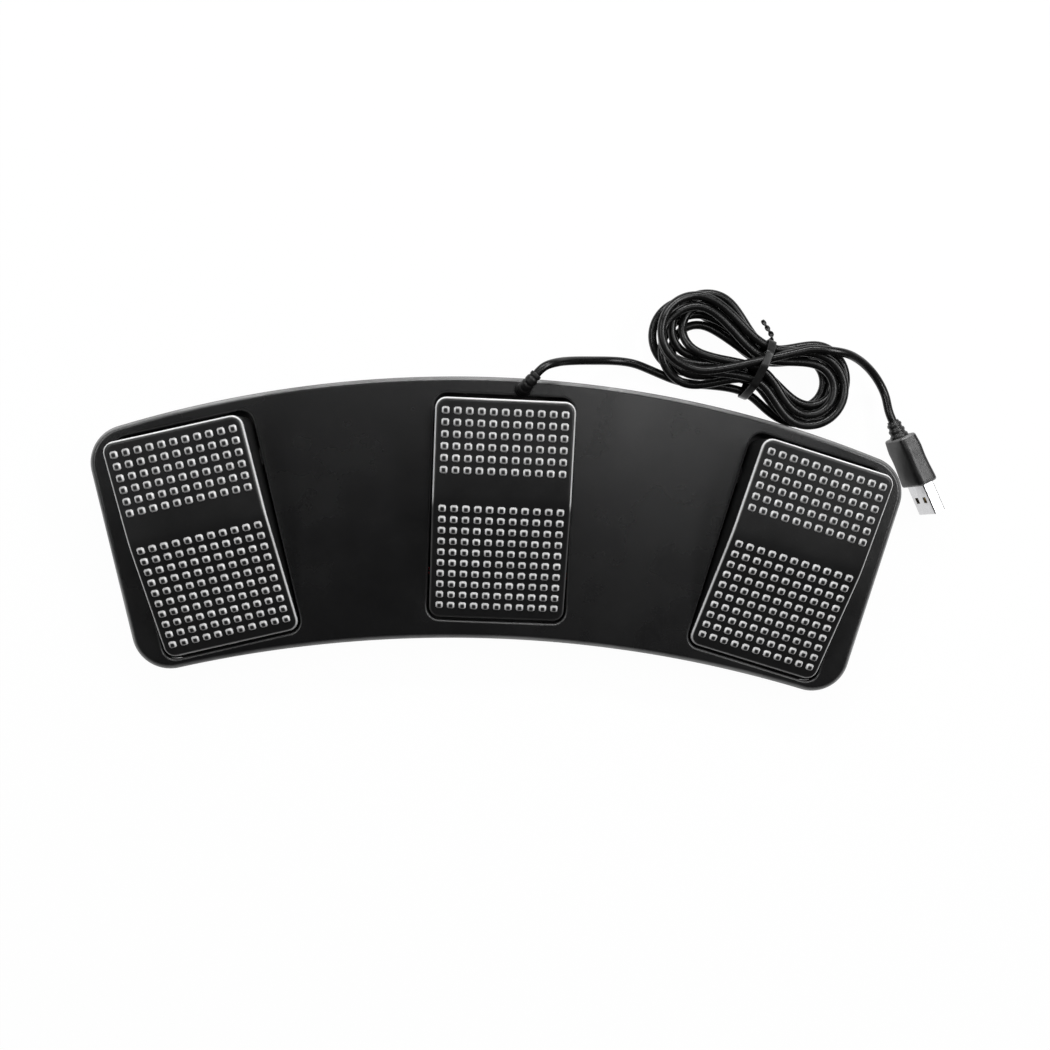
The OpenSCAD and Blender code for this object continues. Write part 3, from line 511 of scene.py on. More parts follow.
# from the gland by the lead's places, round the turns of the hank, then by the tail's places to the plug
def cableRoute(c, h, g, p):
    d, turns = c["diameter"], 2 * c["layers"]
    t = np.linspace(c["start"], c["start"] + turns, turns * c["samplesPerTurn"] + 1)
    leadIn = stack(-np.array(c["leadIn"]) - c["foldLeft"], -h["fold"] - 2 * h["across"], h["low"])
    wound = onHank(np.vstack([leadIn, strandAt(t, c, h), atHeight(crossPoints, h["top"])]), c)
    out, into = heading(90 - g["turn"]), heading(p["turn"])
    leave = np.array([g["x"], g["y"], g["top"] + g["bend"]]) + (g["bend"] + g["lip"]) * out
    ahead, onward = unitRows(wound[1] - wound[0]), unitRows(wound[-1] - wound[-2])
    lead = np.vstack([leave, leave + d * out, via(leave, wound[0], leadVia), wound[0] - d * ahead])
    arrive = np.array(p["place"]) - p["reliefLength"] * into
    tail = np.vstack([wound[-1] + d * onward, via(wound[-1], arrive, tailVia), arrive - d * into, arrive])
    return np.vstack([lead, wound, tail])


route = cableRoute(cable, hank, gland, plug)
cordPath = relax(smoothThrough(route, cable["spacing"]), cable["rounds"])
cordPatches = tubePatches(cordPath, cable["diameter"] / 2, cable["sides"], cable["upright"])
usbCord = makePiece("usb_cord", cordPatches, "base", finish["cable"])
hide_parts("cable_lead", "cable_hank", "cable_tail")


# gland: up through a collar and out by a quarter circle; the radius falls evenly and dips at each groove
def glandPatches(g):
    out, up = heading(90 - g["turn"]), np.array([0, 0, 1.0])
    at = np.array([g["x"], g["y"], 0.0])
    stem = [(g["low"], g["foot"]), (g["low"] + g["footEdge"], g["sleeve"])]
    stem += [(g["collarLow"] - g["seam"], g["sleeve"])]
    stem += [(g["collarLow"] + rise, g["collar"] - drawn) for rise, drawn in g["collarFoot"]]
    stem += [(g["top"] - fall, g["collar"] - drawn) for fall, drawn in g["collarTop"]]
    f = np.linspace(g["bendFrom"], 1.0, g["bendSteps"])
    a = f * np.pi / 2
    bend = at + g["top"] * up + g["bend"] * ((1 - np.cos(a))[:, None] * out + np.sin(a)[:, None] * up)
    wave = np.clip(np.sin(2 * np.pi * g["grooves"] * (f - g["grooveShift"])), 0, 1) ** 2
    dip = g["groove"] * wave * (f > g["grooveFrom"]) * (f < g["grooveTo"])
    taper = g["wide"] + (g["narrow"] - g["wide"]) * f - dip
    lip = [bend[-1] + share * g["lip"] * out for share, _ in g["lipRound"]]
    lipR = [g["narrow"] - drawn for _, drawn in g["lipRound"]]
    path = np.vstack([[at + z * up for z, _ in stem], bend, lip])
    radius = np.concatenate([[r for _, r in stem], taper, lipR])
    return tubePatches(path, radius, g["sides"], (out[1], -out[0], 0.0))


cableGland = makePiece("cable_gland_sleeve", glandPatches(gland), "base", finish["gland"])
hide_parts("cable_gland")


# tie: a thin coated band drawn round the waist of the hank, its two ends twisted together
tie = {"width": 3.0, "thick": 0.5, "sides": 12, "flatAcross": 0.4, "flatThrough": 0.6, "clear": 0.5,
       "low": 0.6, "leadTop": 5.4, "crownBack": 4.0, "crownFront": -1.6, "spacing": 0.35, "rounds": 7,
       "tailLength": 9.0, "tailTurns": 1.75, "tailSteps": 60, "tailWidth": 2.2, "tailNarrows": 0.25,
       "tailThick": 0.9, "tailAcross": 0.5, "tailThrough": 0.7, "tailLean": 55.0, "tailBend": 0.4,
       "tailOut": 0.4, "tailDown": 6.4, "tailRise": 1.2, "tailFall": 1.6}


# the band's line is the waist's outline, rounded; its section is a thin strip with full edges
def tieBand(b, c, h):
    r = c["diameter"] / 2 + b["clear"]
    # strands lie half a step and one and a half steps out on both sides, the lead two and a half in front
    front, side, crown = 2.5 * h["waist"] + r, 1.5 * h["waist"] + r, h["top"] + r
    low, shoulder = b["low"], crown - h["up"]
    shape = np.array([[-front, low], [side, low], [side, shoulder], [b["crownBack"], crown],
                      [b["crownFront"], crown], [-side, shoulder], [-front, b["leadTop"]]])
    closed = np.vstack([shape, shape[:1]])
    line = evenly(np.column_stack([np.zeros(len(closed)), closed]), b["spacing"])[:-1]
    for _ in range(b["rounds"]):
        line = 0.25 * np.roll(line, 1, 0) + 0.5 * line + 0.25 * np.roll(line, -1, 0)
    along = np.array([1.0, 0, 0])
    away = np.cross(unitRows(np.roll(line, -1, 0) - np.roll(line, 1, 0)), along)
    a = ring(b["sides"])
    across = b["width"] / 2 * squared(np.cos(a), b["flatAcross"])
    through = b["thick"] / 2 * (squared(np.sin(a), b["flatThrough"]) + 1)
    return line[:, None] + across[:, None] * along + through[:, None] * away[:, None]


# the twisted ends are one strip that leans over as it leaves the band, spins about its line and narrows
def tieTail(b, c, h):
    s = np.linspace(0, 1, b["tailSteps"])
    spin = 2 * np.pi * b["tailTurns"] * s
    lean = math.radians(b["tailLean"]) * softStep(s / b["tailBend"])
    step = b["tailLength"] / len(s)
    back = 1.5 * h["waist"] + c["diameter"] / 2 + b["clear"] + b["tailOut"]
    line = stack(-np.cumsum(np.sin(lean)) * step, back + np.cumsum(np.cos(lean)) * step,
                 h["top"] - b["tailDown"] + b["tailRise"] * s - b["tailFall"] * s * s)
    aside, up = stack(np.cos(lean), np.sin(lean), 0), np.array([0, 0, 1.0])
    u = np.cos(spin)[:, None] * aside + np.sin(spin)[:, None] * up
    v = np.cos(spin)[:, None] * up - np.sin(spin)[:, None] * aside
    a = ring(b["sides"])
    half = b["tailWidth"] / 2 * (1 - b["tailNarrows"] * s)
    across = half[:, None] * squared(np.cos(a), b["tailAcross"])
    through = b["tailThick"] / 2 * squared(np.sin(a), b["tailThrough"])
    return line[:, None] + across[:, :, None] * u[:, None] + through[:, None] * v[:, None]


def tiePatches(b, c, h):  # the band is closed both ways and the twisted ends are capped
    band, tail = onHank(tieBand(b, c, h), c), onHank(tieTail(b, c, h), c)
    return [gridPatch(band, closed=True, closedRows=True)] + closedTube(tail)


bandPatches = tiePatches(tie, cable, hank)
cableTie = makePiece("cable_tie_band", bandPatches, "base", finish["tie"], sharpAngle=70)
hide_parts("cable_tie")


# plug: a moulded grip with a ribbed strain relief, standing on its edge
def onPlug(p, g):  # rolled about its own length, turned level and moved to its place
    turn = turnAbout("Z", g["turn"]) @ turnAbout("X", g["roll"])
    return p @ turn.T + np.array(g["place"])


# a rectangle with round corners as a loop: straight runs and quarter circles, with its outward directions
def roundedLoop(halfX, halfY, r, cornerSteps=7, runSteps=6):
    a = np.linspace(0, np.pi / 2, cornerSteps)
    quarter = np.stack([np.cos(a), np.sin(a)], -1)
    f = np.arange(1, runSteps)[:, None] / runSteps
    loop, out = [], []
    x, y = halfX - r, halfY - r
    centres = [(x, y), (-x, y), (-x, -y), (x, -y)]
    for i, centre in enumerate(centres):
        n = quarter @ turnAbout("Z", 90 * i)[:2, :2].T
        loop.append(np.array(centre) + r * n)
        out.append(n)
        nextStart = np.array(centres[(i + 1) % 4]) + r * n[-1]
        loop.append(loop[-1][-1] * (1 - f) + nextStart * f)
        out.append(np.repeat(n[-1:], runSteps - 1, 0))
    return np.vstack(loop), np.vstack(out)


# sections along the plug: the loop shrinks at both ends along a quarter circle, draws in a little at mid
# length and narrows to a shoulder; the relief is a cone with ribs, a sine made fuller
def gripPatches(g):
    loop, out = roundedLoop(g["width"] / 2, g["thick"] / 2, g["corner"])
    a = np.linspace(0, np.pi / 2, g["edgeSteps"])
    ends, drawn = g["edge"] * (1 - np.cos(a)), g["edge"] * (1 - np.sin(a))
    middle = np.linspace(ends[-1], g["length"] - ends[-1], g["sections"])[1:-1]
    x = np.concatenate([ends, middle, (g["length"] - ends)[::-1]])
    inset = np.concatenate([drawn, 0 * middle, drawn[::-1]])
    f = np.clip(x / g["length"], 0, 1)
    depth = inset + g["waist"] * np.sin(np.pi * f) ** 2
    yz = loop[None] - depth[:, None, None] * out[None]
    narrower = np.array([g["shoulderWide"] / g["width"], g["shoulderThick"] / g["thick"]])
    yz *= 1 - (1 - softStep(f / g["shoulderEnd"]))[:, None, None] * narrower
    grip = stack(x[:, None], yz[:, :, 0], yz[:, :, 1])
    s = np.linspace(0, 1, g["reliefSteps"])
    rib = 0.5 + 0.5 * squared(np.sin(2 * np.pi * g["ribs"] * s + g["ribShift"]), g["ribPower"])
    r = g["reliefSmall"] + (g["reliefLarge"] - g["reliefSmall"]) * s - g["ribDepth"] * rib
    b = ring(g["reliefSides"])
    along = s * (g["reliefLength"] + g["reliefIn"]) - g["reliefLength"]
    relief = stack(along[:, None], r[:, None] * np.cos(b), r[:, None] * np.sin(b))
    # the rounded ends are paler: partly rubbed wear, partly painted highlight
    wearAndHighlight = np.where(inset > 0, g["rubAndHighlight"], 0.0)[:, None]
    return closedTube(onPlug(grip, g), wearAndHighlight) + closedTube(onPlug(relief, g))


plugGrip = makePiece("plug_grip", gripPatches(plug), "base", finish["plug"], sharpAngle=40)
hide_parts("plug_overmould")
print("cord, gland, tie and plug made")


# the plan's edge moved inwards by inset, as points that keep their place along the edge
def baseOutline(inset, b=base):
    end = np.pi / 2 + math.radians(b["lean"])
    backA = math.atan2(*(backCorner - backCentre))
    frontA = math.atan2(*(frontCorner - frontCentre))
    part = np.arange(b["arcSteps"]) / b["arcSteps"]

    def swing(centre, a, r):
        return centre + r * np.stack([np.sin(a), np.cos(a)], -1)

    half = np.vstack([
        swing(backCentre, backA * part, b["backRadius"] - inset),
        swing(backCorner, np.linspace(backA, end, b["cornerSteps"]), b["corner"] - inset),
        swing(frontCorner, np.linspace(end, np.pi + frontA, b["cornerSteps"]), b["corner"] - inset),
        swing(frontCentre, frontA * part[::-1], b["frontRadius"] + inset)])
    loop = np.vstack([half, (half * [-1, 1])[-2:0:-1]])
    return (loop - [0, middleY])[::-1]


# pedal sizes, which the housing's openings follow, and where a painted highlight line runs on the rounded
# edge
pedal = {"width": 50.0, "front": 44.0, "back": 36.8, "frontZ": 15.5, "bendZ": 30.5, "backZ": 34.5,
         "corner": 4.0, "edge": 1.5, "wall": 2.0, "tread": 2.5, "bendRound": 2.2, "lowFront": 5.0,
         "lowBack": 11.57, "sidePlay": 0.8, "frontPlay": 1.0, "backPlay": 2.2, "skirtInner": 0.2,
         "skirtFoot": [(0, 1.2), (0, 0.3), (0.3, 0)],  # in from the side, up from the foot
         "across": 25, "cornerRows": 7, "frontRows": 16, "bendRows": 17, "backRows": 12, "bendHalf": 6.0,
         "edgeSteps": 11, "highlightBehind": -3.0, "highlightOver": 4.0,  # from the bend
         "highlightFrom": 0.55, "highlightGrows": 0.35, "highlightTo": 1.4, "highlightFades": 0.17}  # angles round the edge


# which points lie inside a loop: those where a level line to the right crosses it an odd number of times
def insideLoop(points, loop):
    x0, y0 = loop.T
    x1, y1 = np.roll(loop, -1, 0).T
    x, y = points[:, :1], points[:, 1:]
    meets = (y0 > y) != (y1 > y)
    at = x0 + (y - y0) * (x1 - x0) / np.where(meets, y1 - y0, 1)
    return (meets & (x < at)).sum(1) % 2 == 1


# flat faces with holes: triangles that fill between the outer loop, which comes first, and the holes
def fillBetween(loops, z, outputKind=2, near=1e-5):
    edges, start = [], 0
    for loop in loops:
        i = np.arange(len(loop))
        edges += np.stack([start + i, start + (i + 1) % len(loop)], -1).tolist()
        start += len(loop)
    verts, _, faces, *_ = delaunay_2d_cdt(np.vstack(loops).tolist(), edges, [], outputKind, near)
    flat = atHeight(np.array([tuple(v) for v in verts]), z)
    tris = np.array(faces, int)
    middles = flat[tris][:, :, :2].mean(1)
    kept = insideLoop(middles, loops[0])
    for hole in loops[1:]:
        kept &= ~insideLoop(middles, hole)
    return flat, noQuads, tris[kept], np.zeros(len(flat))


# housing: a profile carried round the plan for walls and rim, one round each opening, flat faces between
housing = {"openEdge": 0.8, "openWearAndHighlight": 0.15, "land": 0.2, "chamfer": 0.3, "midWall": 6.0, "underRim": 0.4,
           "lowEdge": [(0.5, 0), (0.15, 0.15), (0, 0.5)],  # in from the side, up from the foot
           "edgeSteps": 11, "cornerSteps": 9, "runSteps": 10}


# each step of a profile is how far in, how high and how much paler its edge is, partly wear and partly
# painted highlight
def housingPatches(h, b, p):
    a = np.radians(np.linspace(0, 90, h["edgeSteps"]))
    rim, chamfer, land, e = b["rim"], h["chamfer"], h["land"], h["openEdge"]
    wall, low, top, flat = b["wall"], b["low"], b["top"], b["under"]
    outer = [(wall, flat, 0), (wall, low + chamfer, 0), (wall - chamfer, low, 0)]
    outer += [(inset, low + rise, 0) for inset, rise in h["lowEdge"]]
    outer += [(0, h["midWall"], 0), (0, top - rim - h["underRim"], 0)]
    # the rim's rounding is paler in its middle: a painted highlight line, partly wear
    outer += [(rim * (1 - math.cos(x)), top - rim * (1 - math.sin(x)), math.sin(2 * x) ** 3) for x in a]
    outer += [(rim + land, top, 0)]
    rings = np.array([atHeight(baseOutline(inset), z) for inset, z, _ in outer])
    patches = [gridPatch(rings, closed=True, wearAndHighlight=profileWearAndHighlight(outer))]
    front, back = p["front"] + p["frontPlay"], p["back"] + p["backPlay"]
    loop, out = roundedLoop(p["width"] / 2 + p["sidePlay"], (front + back) / 2, p["corner"] + p["sidePlay"],
                            h["cornerSteps"], h["runSteps"])
    loop = loop + [0, (back - front) / 2]
    rubAndHighlight = h["openWearAndHighlight"]
    opening = [(e + land, top, 0)]
    # the opening's rounded edge is a little paler: painted highlight, partly wear
    opening += [(e * (1 - math.sin(x)), top - e * (1 - math.cos(x)), rubAndHighlight * math.sin(2 * x)) for x in a]
    opening += [(0, flat + chamfer, 0), (chamfer, flat, 0)]
    holesTop, holesUnder = [], []
    for side in sideOf.values():
        edge = np.array([onPedal(atHeight(loop + d * out, z), side) for d, z, _ in opening])
        patches.append(gridPatch(edge, closed=True, wearAndHighlight=profileWearAndHighlight(opening)))
        holesTop.append(edge[0][:, :2])
        holesUnder.append(edge[-1][:, :2])
    patches.append(fillBetween([baseOutline(rim + land)] + holesTop, top))
    patches.append(fillBetween([baseOutline(wall)] + holesUnder, flat))
    return patches


shellPatches = housingPatches(housing, base, pedal)
topShell = makePiece("housing_shell", shellPatches, "base", finish["housing"], sharpAngle=60)
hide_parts("top_housing")


# height of the tread: two slopes that meet at the bend in a short curve (a hyperbola)
def treadHeight(v, p):
    front = (p["bendZ"] - p["frontZ"]) / p["front"]
    back = (p["backZ"] - p["bendZ"]) / p["back"]
    return p["bendZ"] + (front + back) / 2 * v - (front - back) / 2 * np.sqrt(v * v + p["bendRound"] ** 2)


# rows of the tread from front to back, with the half width of each row and its corner angle
def treadRows(inset, p):
    r, bend = p["corner"] - inset, p["bendHalf"]
    half, front, back = p["width"] / 2 - inset, -p["front"] + inset, p["back"] - inset
    a = np.linspace(0, np.pi / 2, p["cornerRows"])
    run = np.concatenate([np.linspace(front + r, -bend, p["frontRows"])[1:],
                          np.linspace(-bend, bend, p["bendRows"])[1:-1],
                          np.linspace(bend, back - r, p["backRows"])[:-1]])
    corner = half - r + r * np.cos(a)
    v = np.concatenate([(front + r - r * np.sin(a))[::-1], run, back - r + r * np.sin(a)])
    w = np.concatenate([corner[::-1], np.full(len(run), half), corner])
    angle = np.concatenate([-a[::-1], np.zeros(len(run)), a])
    return v, w, angle


def treadGrid(inset, drop, p):  # each row spread evenly across its width, a drop below the tread's height
    v, w, _ = treadRows(inset, p)
    u = w[:, None] * np.linspace(-1, 1, p["across"])[None]
    return stack(u, v[:, None], treadHeight(v, p)[:, None] - drop)


# the tread's edge as a closed loop with outward directions: front row, right side, back row, left side
def treadLoop(p):
    v, w, angle = treadRows(p["edge"], p)
    f = np.linspace(-1, 1, p["across"])
    frontRow, backRow = stack(w[0] * f, v[0]), stack(-w[-1] * f, v[-1])
    loop = np.vstack([frontRow, stack(w, v)[1:-1], backRow, stack(-w, v)[-2:0:-1]])
    ahead = np.repeat([[0.0, -1.0]], len(f), 0)
    sideOut = np.stack([np.cos(angle), np.sin(angle)], -1)
    return loop, np.vstack([ahead, sideOut[1:-1], -ahead, (sideOut * [-1, 1])[-2:0:-1]])


def lathePatches(profile, centre, sides=28):  # a profile of radius and height turned about an upright axis
    a = ring(sides)
    r, z = np.array(profile).T[:, :, None]
    return closedTube(stack(centre[0] + r * np.cos(a), centre[1] + r * np.sin(a), z))


# pedal: tread grid, a rounded edge with a painted highlight line, skirts and their inside carried round it,
# and the tread's underside
def pedalPatches(p, frontHighlightShare):
    loop, out = treadLoop(p)
    e = p["edge"]
    # a painted highlight line along the middle of the rounded edge, fainter in front of the bend on the
    # middle pedal
    rubAndHighlight = frontHighlightShare + (1 - frontHighlightShare) * softStep((loop[:, 1] - p["highlightBehind"]) / p["highlightOver"])
    rows, wearAndHighlight = [], []
    for x in np.radians(np.linspace(0, 90, p["edgeSteps"])):
        q = loop + e * math.sin(x) * out
        rows.append(atHeight(q, treadHeight(q[:, 1], p) - e * (1 - math.cos(x))))
        grown = softStep((x - p["highlightFrom"]) / p["highlightGrows"])
        wearAndHighlight.append(grown * (1 - softStep((x - p["highlightTo"]) / p["highlightFades"])) * rubAndHighlight)
    skirt = p["skirtFoot"] + [(p["wall"] - p["skirtInner"], 0), (p["wall"], p["skirtInner"])]
    for inset, lift in skirt:
        q = loop + (e - inset) * out
        back = (q[:, 1] + p["front"]) / (p["front"] + p["back"])
        rows.append(atHeight(q, p["lowFront"] + (p["lowBack"] - p["lowFront"]) * back + lift))
    q = loop + (e - p["wall"]) * out
    rows.append(atHeight(q, treadHeight(q[:, 1], p) - p["tread"]))
    wearAndHighlight += [0 * rubAndHighlight] * (len(skirt) + 1)
    return [gridPatch(treadGrid(e, 0, p)), gridPatch(np.array(rows), closed=True, wearAndHighlight=np.array(wearAndHighlight)),
            gridPatch(treadGrid(p["wall"], p["tread"], p))]


# under the tread: a round spring seat with its spigot, a switch post, and a stop hook on each skirt
under = {"springBack": 22.0, "seatZ": 21.0, "seatR": 6.0, "spigotR": 2.9, "spigot": 2.5, "spigotIn": 0.4,
         "spigotUp": 0.5, "switchFront": 12.0, "postZ": 17.2, "postR": 2.0, "edge": 0.3, "rooted": 0.3,
         "hookZ": 12.2, "hookDrop": 1.9, "hookLength": 6.0, "hookOut": 4.2, "hookFront": 1.0,
         "hookCorner": 0.4, "hookLow": 0.25, "hookTop": 0.2}


# seat and post are turned profiles that reach into the tread; a hook is a rounded loop with small chamfers
def underPatches(u, p):
    seat, post, edge, spigot = u["seatR"], u["postR"], u["edge"], u["spigotR"]
    inTread = [float(treadHeight(np.array(v), p)) - p["tread"] + u["rooted"]
               for v in (u["springBack"] - seat, -u["switchFront"] - post)]
    z, tip = u["seatZ"], u["seatZ"] - u["spigot"]
    patches = lathePatches([(spigot - u["spigotIn"], tip), (spigot, tip + u["spigotUp"]), (spigot, z),
                            (seat - edge, z), (seat, z + edge), (seat, inTread[0])], (0, u["springBack"]))
    patches += lathePatches([(post - edge, u["postZ"]), (post, u["postZ"] + edge), (post, inTread[1])],
                            (0, -u["switchFront"]))
    wide, long = u["hookOut"] / 2, u["hookLength"] / 2
    loop, out = roundedLoop(wide, long, u["hookCorner"], cornerSteps=4, runSteps=3)
    low, high = u["hookZ"] - u["hookDrop"], u["hookZ"]
    levels = [(u["hookLow"], low), (0, low + u["hookLow"]), (0, high - u["hookTop"]), (u["hookTop"], high)]
    for s in (-1, 1):
        at = [s * (p["width"] / 2 - p["wall"] + wide), u["springBack"] - u["hookFront"]]
        patches += closedTube(np.array([atHeight(loop - d * out + at, z) for d, z in levels]))
    return patches


# studs: low pyramids with soft tops in two fields, at an even pitch along each slope of the tread; their
# edges carry a painted highlight
stud = {"pitch": 4.25, "foot": 2.7, "top": 1.6, "height": 0.75, "sunk": 0.15, "back": 11.0, "front": 3.1,
        "border": 3.5, "corner": 0.62, "skin": 0.02, "flat": 0.45, "frontBackHighlight": 0.55,
        # out from the top's half width, share of the height, painted highlight on the edge
        "rounding": [(0.22, 0.6, 1), (0.06, 0.84, 0.85), (-0.16, 0.96, 0.05)]}


# rows and columns of studs: as many pitches as fit in each field, with the columns centred
def studPlaces(s, p):
    def run(room):
        return s["pitch"] * np.arange(int(room // s["pitch"]) + 1)

    across = run(p["width"] - 2 * s["border"])
    rise, fall = p["bendZ"] - p["frontZ"], p["backZ"] - p["bendZ"]
    backSlope, frontSlope = math.hypot(p["back"], fall), math.hypot(p["front"], rise)
    behind = (s["back"] + run(backSlope - s["back"] - s["border"])) * p["back"] / backSlope
    ahead = -(s["front"] + run(frontSlope - s["front"] - s["border"])) * p["front"] / frontSlope
    v, u = np.meshgrid(np.concatenate([behind, ahead]), across - across[-1] / 2, indexing="ij")
    return u.ravel(), v.ravel()


# one stud is rings of eight points, a square with cut corners that narrows and rounds over
def studPatches(s, p, side):
    c = s["corner"]
    square = np.array([[1, c], [c, 1], [-c, 1], [-1, c], [-1, -c], [-c, -1], [c, -1], [1, -c]])
    # left and right edges brighter than front and back: painted highlight from the side lamps
    sideHighlight = np.where(np.abs(square[:, 0]) == 1, 1, s["frontBackHighlight"])
    low, top, h = s["foot"] / 2, s["top"] / 2, s["height"]
    levels = [(low, -s["sunk"], 0), (low, s["skin"], 1)]
    levels += [(top + out, h * share, wornAndHighlight) for out, share, wornAndHighlight in s["rounding"]]
    levels += [(top * s["flat"], h, 0)]
    one = np.array([atHeight(r * square, z) for r, z, _ in levels])
    wearAndHighlight = (profileWearAndHighlight(levels) * sideHighlight).ravel()
    lid = np.array([[0, 1, 2, 3], [0, 3, 4, 7], [4, 5, 6, 7]])
    count, n = wearAndHighlight.size, len(square)
    quads = np.vstack([gridQuads(len(levels), n, closed=True), lid + count - n, lid[:, ::-1]])
    u, v = studPlaces(s, p)
    near = 0.01
    slope = np.arctan((treadHeight(v + near, p) - treadHeight(v - near, p)) / (2 * near))
    x, y, z = one.reshape(-1, 3).T
    level, steep = np.cos(slope)[:, None], np.sin(slope)[:, None]
    points = stack(u[:, None] + x, v[:, None] + y * level - z * steep,
                   treadHeight(v, p)[:, None] + y * steep + z * level)
    allQuads = (quads[None] + count * np.arange(len(v))[:, None, None]).reshape(-1, 4)
    return [(onPedal(points, side).reshape(-1, 3), allQuads, noTris, np.tile(wearAndHighlight, len(v)))]


frontEdgeHighlight = {"left": 1.0, "middle": 0.12, "right": 1.0}  # how strongly the painted highlight line shows on the edge in front of the bend
for word, side in sideOf.items():
    shapes = pedalPatches(pedal, frontEdgeHighlight[word]) + underPatches(under, pedal)
    placed = [(onPedal(q[0], side),) + q[1:] for q in shapes]
    treadle = makePiece(word + "_treadle", placed, word + "_pedal", finish["pedal"], sharpAngle=42)
    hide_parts(word + "_pedal")
    field = studPatches(stud, pedal, side)
    studs = makePiece(word + "_grip_studs", field, word + "_pedal", finish["stud"], sharpAngle=60)
    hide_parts(word + "_pedal")


# return springs: a helix with closed end turns, from its foot on the cover up to its top under the pedal
spring = {"coil": 4.0, "wire": 0.5, "turns": 7, "low": 3.55, "high": 20.95, "back": under["springBack"],
          "endTurns": 0.8, "endRise": 0.08, "stepsPerTurn": 28, "sides": 10}


# the height grows evenly between the end turns, plus a small even rise over the whole length
def springPatches(s, side):
    n = s["turns"] * s["stepsPerTurn"]
    f = np.arange(n + 1) / n
    a = 2 * np.pi * s["turns"] * f
    opened = np.clip((f * s["turns"] - s["endTurns"]) / (s["turns"] - 2 * s["endTurns"]), 0, 1)
    low, high = s["low"] + s["wire"], s["high"] - s["wire"]
    z = low + (high - low) * ((1 - s["endRise"]) * opened + s["endRise"] * f)
    path = stack(s["coil"] * np.cos(a), s["back"] + s["coil"] * np.sin(a), z)
    return tubePatches(onPedal(path, side), s["wire"], s["sides"], (0, 0, 1))


for word, side in sideOf.items():
    shapes = springPatches(spring, side)
    coil = makePiece(word + "_spring_coil", shapes, None, finish["spring"], sharpAngle=60)
    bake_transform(coil)
    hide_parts(word + "_return_spring")
print("pedals, studs and springs made")


# rubber feet: turned pads with a rounded rim and a shallow dish below
foot = {"r": 6.0, "out": 1.5, "up": 0.5, "edge": 0.45, "dish": 0.22, "dishR": 3.3, "dishEdgeR": 3.72,
        "back": 14.0, "front": 28.0, "sides": 40, "edgeSteps": 6}


def footPatches(f):  # one pad behind and one in front of each pedal's bend
    profile = [(f["dishR"], f["dish"]), (f["dishEdgeR"], 0.0)]
    profile += [(f["r"] - f["edge"] * (1 - math.sin(x)), f["edge"] * (1 - math.cos(x)))
                for x in np.radians(np.linspace(0, 90, f["edgeSteps"]))]
    profile += [(f["r"], f["out"] + f["up"])]
    patches = []
    for side in sideOf.values():
        for r in (fan["radius"] + f["back"], fan["radius"] - f["front"]):
            patches += lathePatches(profile, onFan(r, side * spread), f["sides"])
    return patches


feet = makePiece("foot_pads", footPatches(foot), "base", finish["rubber"], sharpAngle=50)
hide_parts("rubber_feet")


# wires inside: smooth tubes along the floor from the gland and the switches to the main board
board = {"length": 24.0, "deck": 7.6, "header": 4.4, "headerX": -6.4, "headerBack": 11.0, "plugPitch": 9.0}
inner = {"low": 5.2, "bend": 6.5, "stub": 0.6, "floorX": 18.0, "floorFront": 1.4, "clampX": 26.5,
         "clampY": 5.9, "clampTurn": -25.0, "clampHalf": 4.5, "past": 10.0, "pastFront": 1.4,
         "riseAside": (1.6, 1.0), "rise": 2.4, "headerNear": 5.0, "spacing": 0.8, "rounds": 8, "sides": 12,
         "upright": (0.3, 0.5, 0.81)}
wires = {"r": 0.6, "apart": 0.8, "low": 4.2, "switchFront": under["switchFront"], "front": 4.5, "half": 6.0,
         "drop": [(0.3, 8.25), (4.0, 8.25), (8.0, 4.8), (12.0, 4.2)],  # out from the switch, height
         "past": 3.0, "near": 6.0, "nearRise": 1.6, "levelFrom": 2.5, "inside": 1.0,
         "leftRun": [(-39, -14), (-25, -16), (29, -16)],  # across and back from the middle switch
         "middleRun": (-4.0, 8.0), "rightRun": (14.0, 7.0),  # across the board, in front of it
         "leaves": {"left": 1, "middle": 1, "right": -1},  # the side of the pedal where a pair comes out
         "spacing": 0.8, "rounds": 8, "sides": 8, "upright": (0.05, 0.05, 1)}
gapTurn = -spread / 2
boardAt = onFan(fan["radius"], gapTurn)
plugZ = board["deck"] + board["header"] / 2


def onBoard(u, v, z):  # from the main board's own across and back to the whole object's frame
    return laid(np.array([u, v, z]), gapTurn, boardAt)


# down from the gland round a quarter circle, through the clamp, then up to the header
def innerRoute(n, b, g):
    a = np.radians([0, 30, 60, 90])
    bend = stack(g["x"] + n["bend"] * (1 - np.cos(a)), g["y"], n["low"] + n["bend"] * (1 - np.sin(a)))
    clamp = np.array([g["x"] + n["clampX"], g["y"] - n["clampY"], n["low"]])
    ahead = heading(n["clampTurn"])
    past, end = clamp + n["past"] * ahead, onBoard(b["headerX"], b["headerBack"], plugZ)
    rising = np.append((past + end)[:2] / 2 + n["riseAside"], n["low"] + n["rise"])
    return np.vstack([bend[0] + [0, 0, n["stub"]], bend,
                      [g["x"] + n["floorX"], g["y"] - n["floorFront"], n["low"]],
                      clamp - n["clampHalf"] * ahead, clamp + n["clampHalf"] * ahead,
                      past - [0, n["pastFront"], 0], rising,
                      onBoard(b["headerX"], b["headerBack"] + n["headerNear"], plugZ), end])


def wireTube(path, radius, w):  # an even, relaxed path as a tube
    return tubePatches(relax(evenly(path, w["spacing"]), w["rounds"]), radius, w["sides"], w["upright"])


innerPatches = wireTube(innerRoute(inner, board, gland), cable["diameter"] / 2, inner)
innerRun = makePiece("inner_cable_run", innerPatches, "base", finish["cable"])
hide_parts("inner_cable")


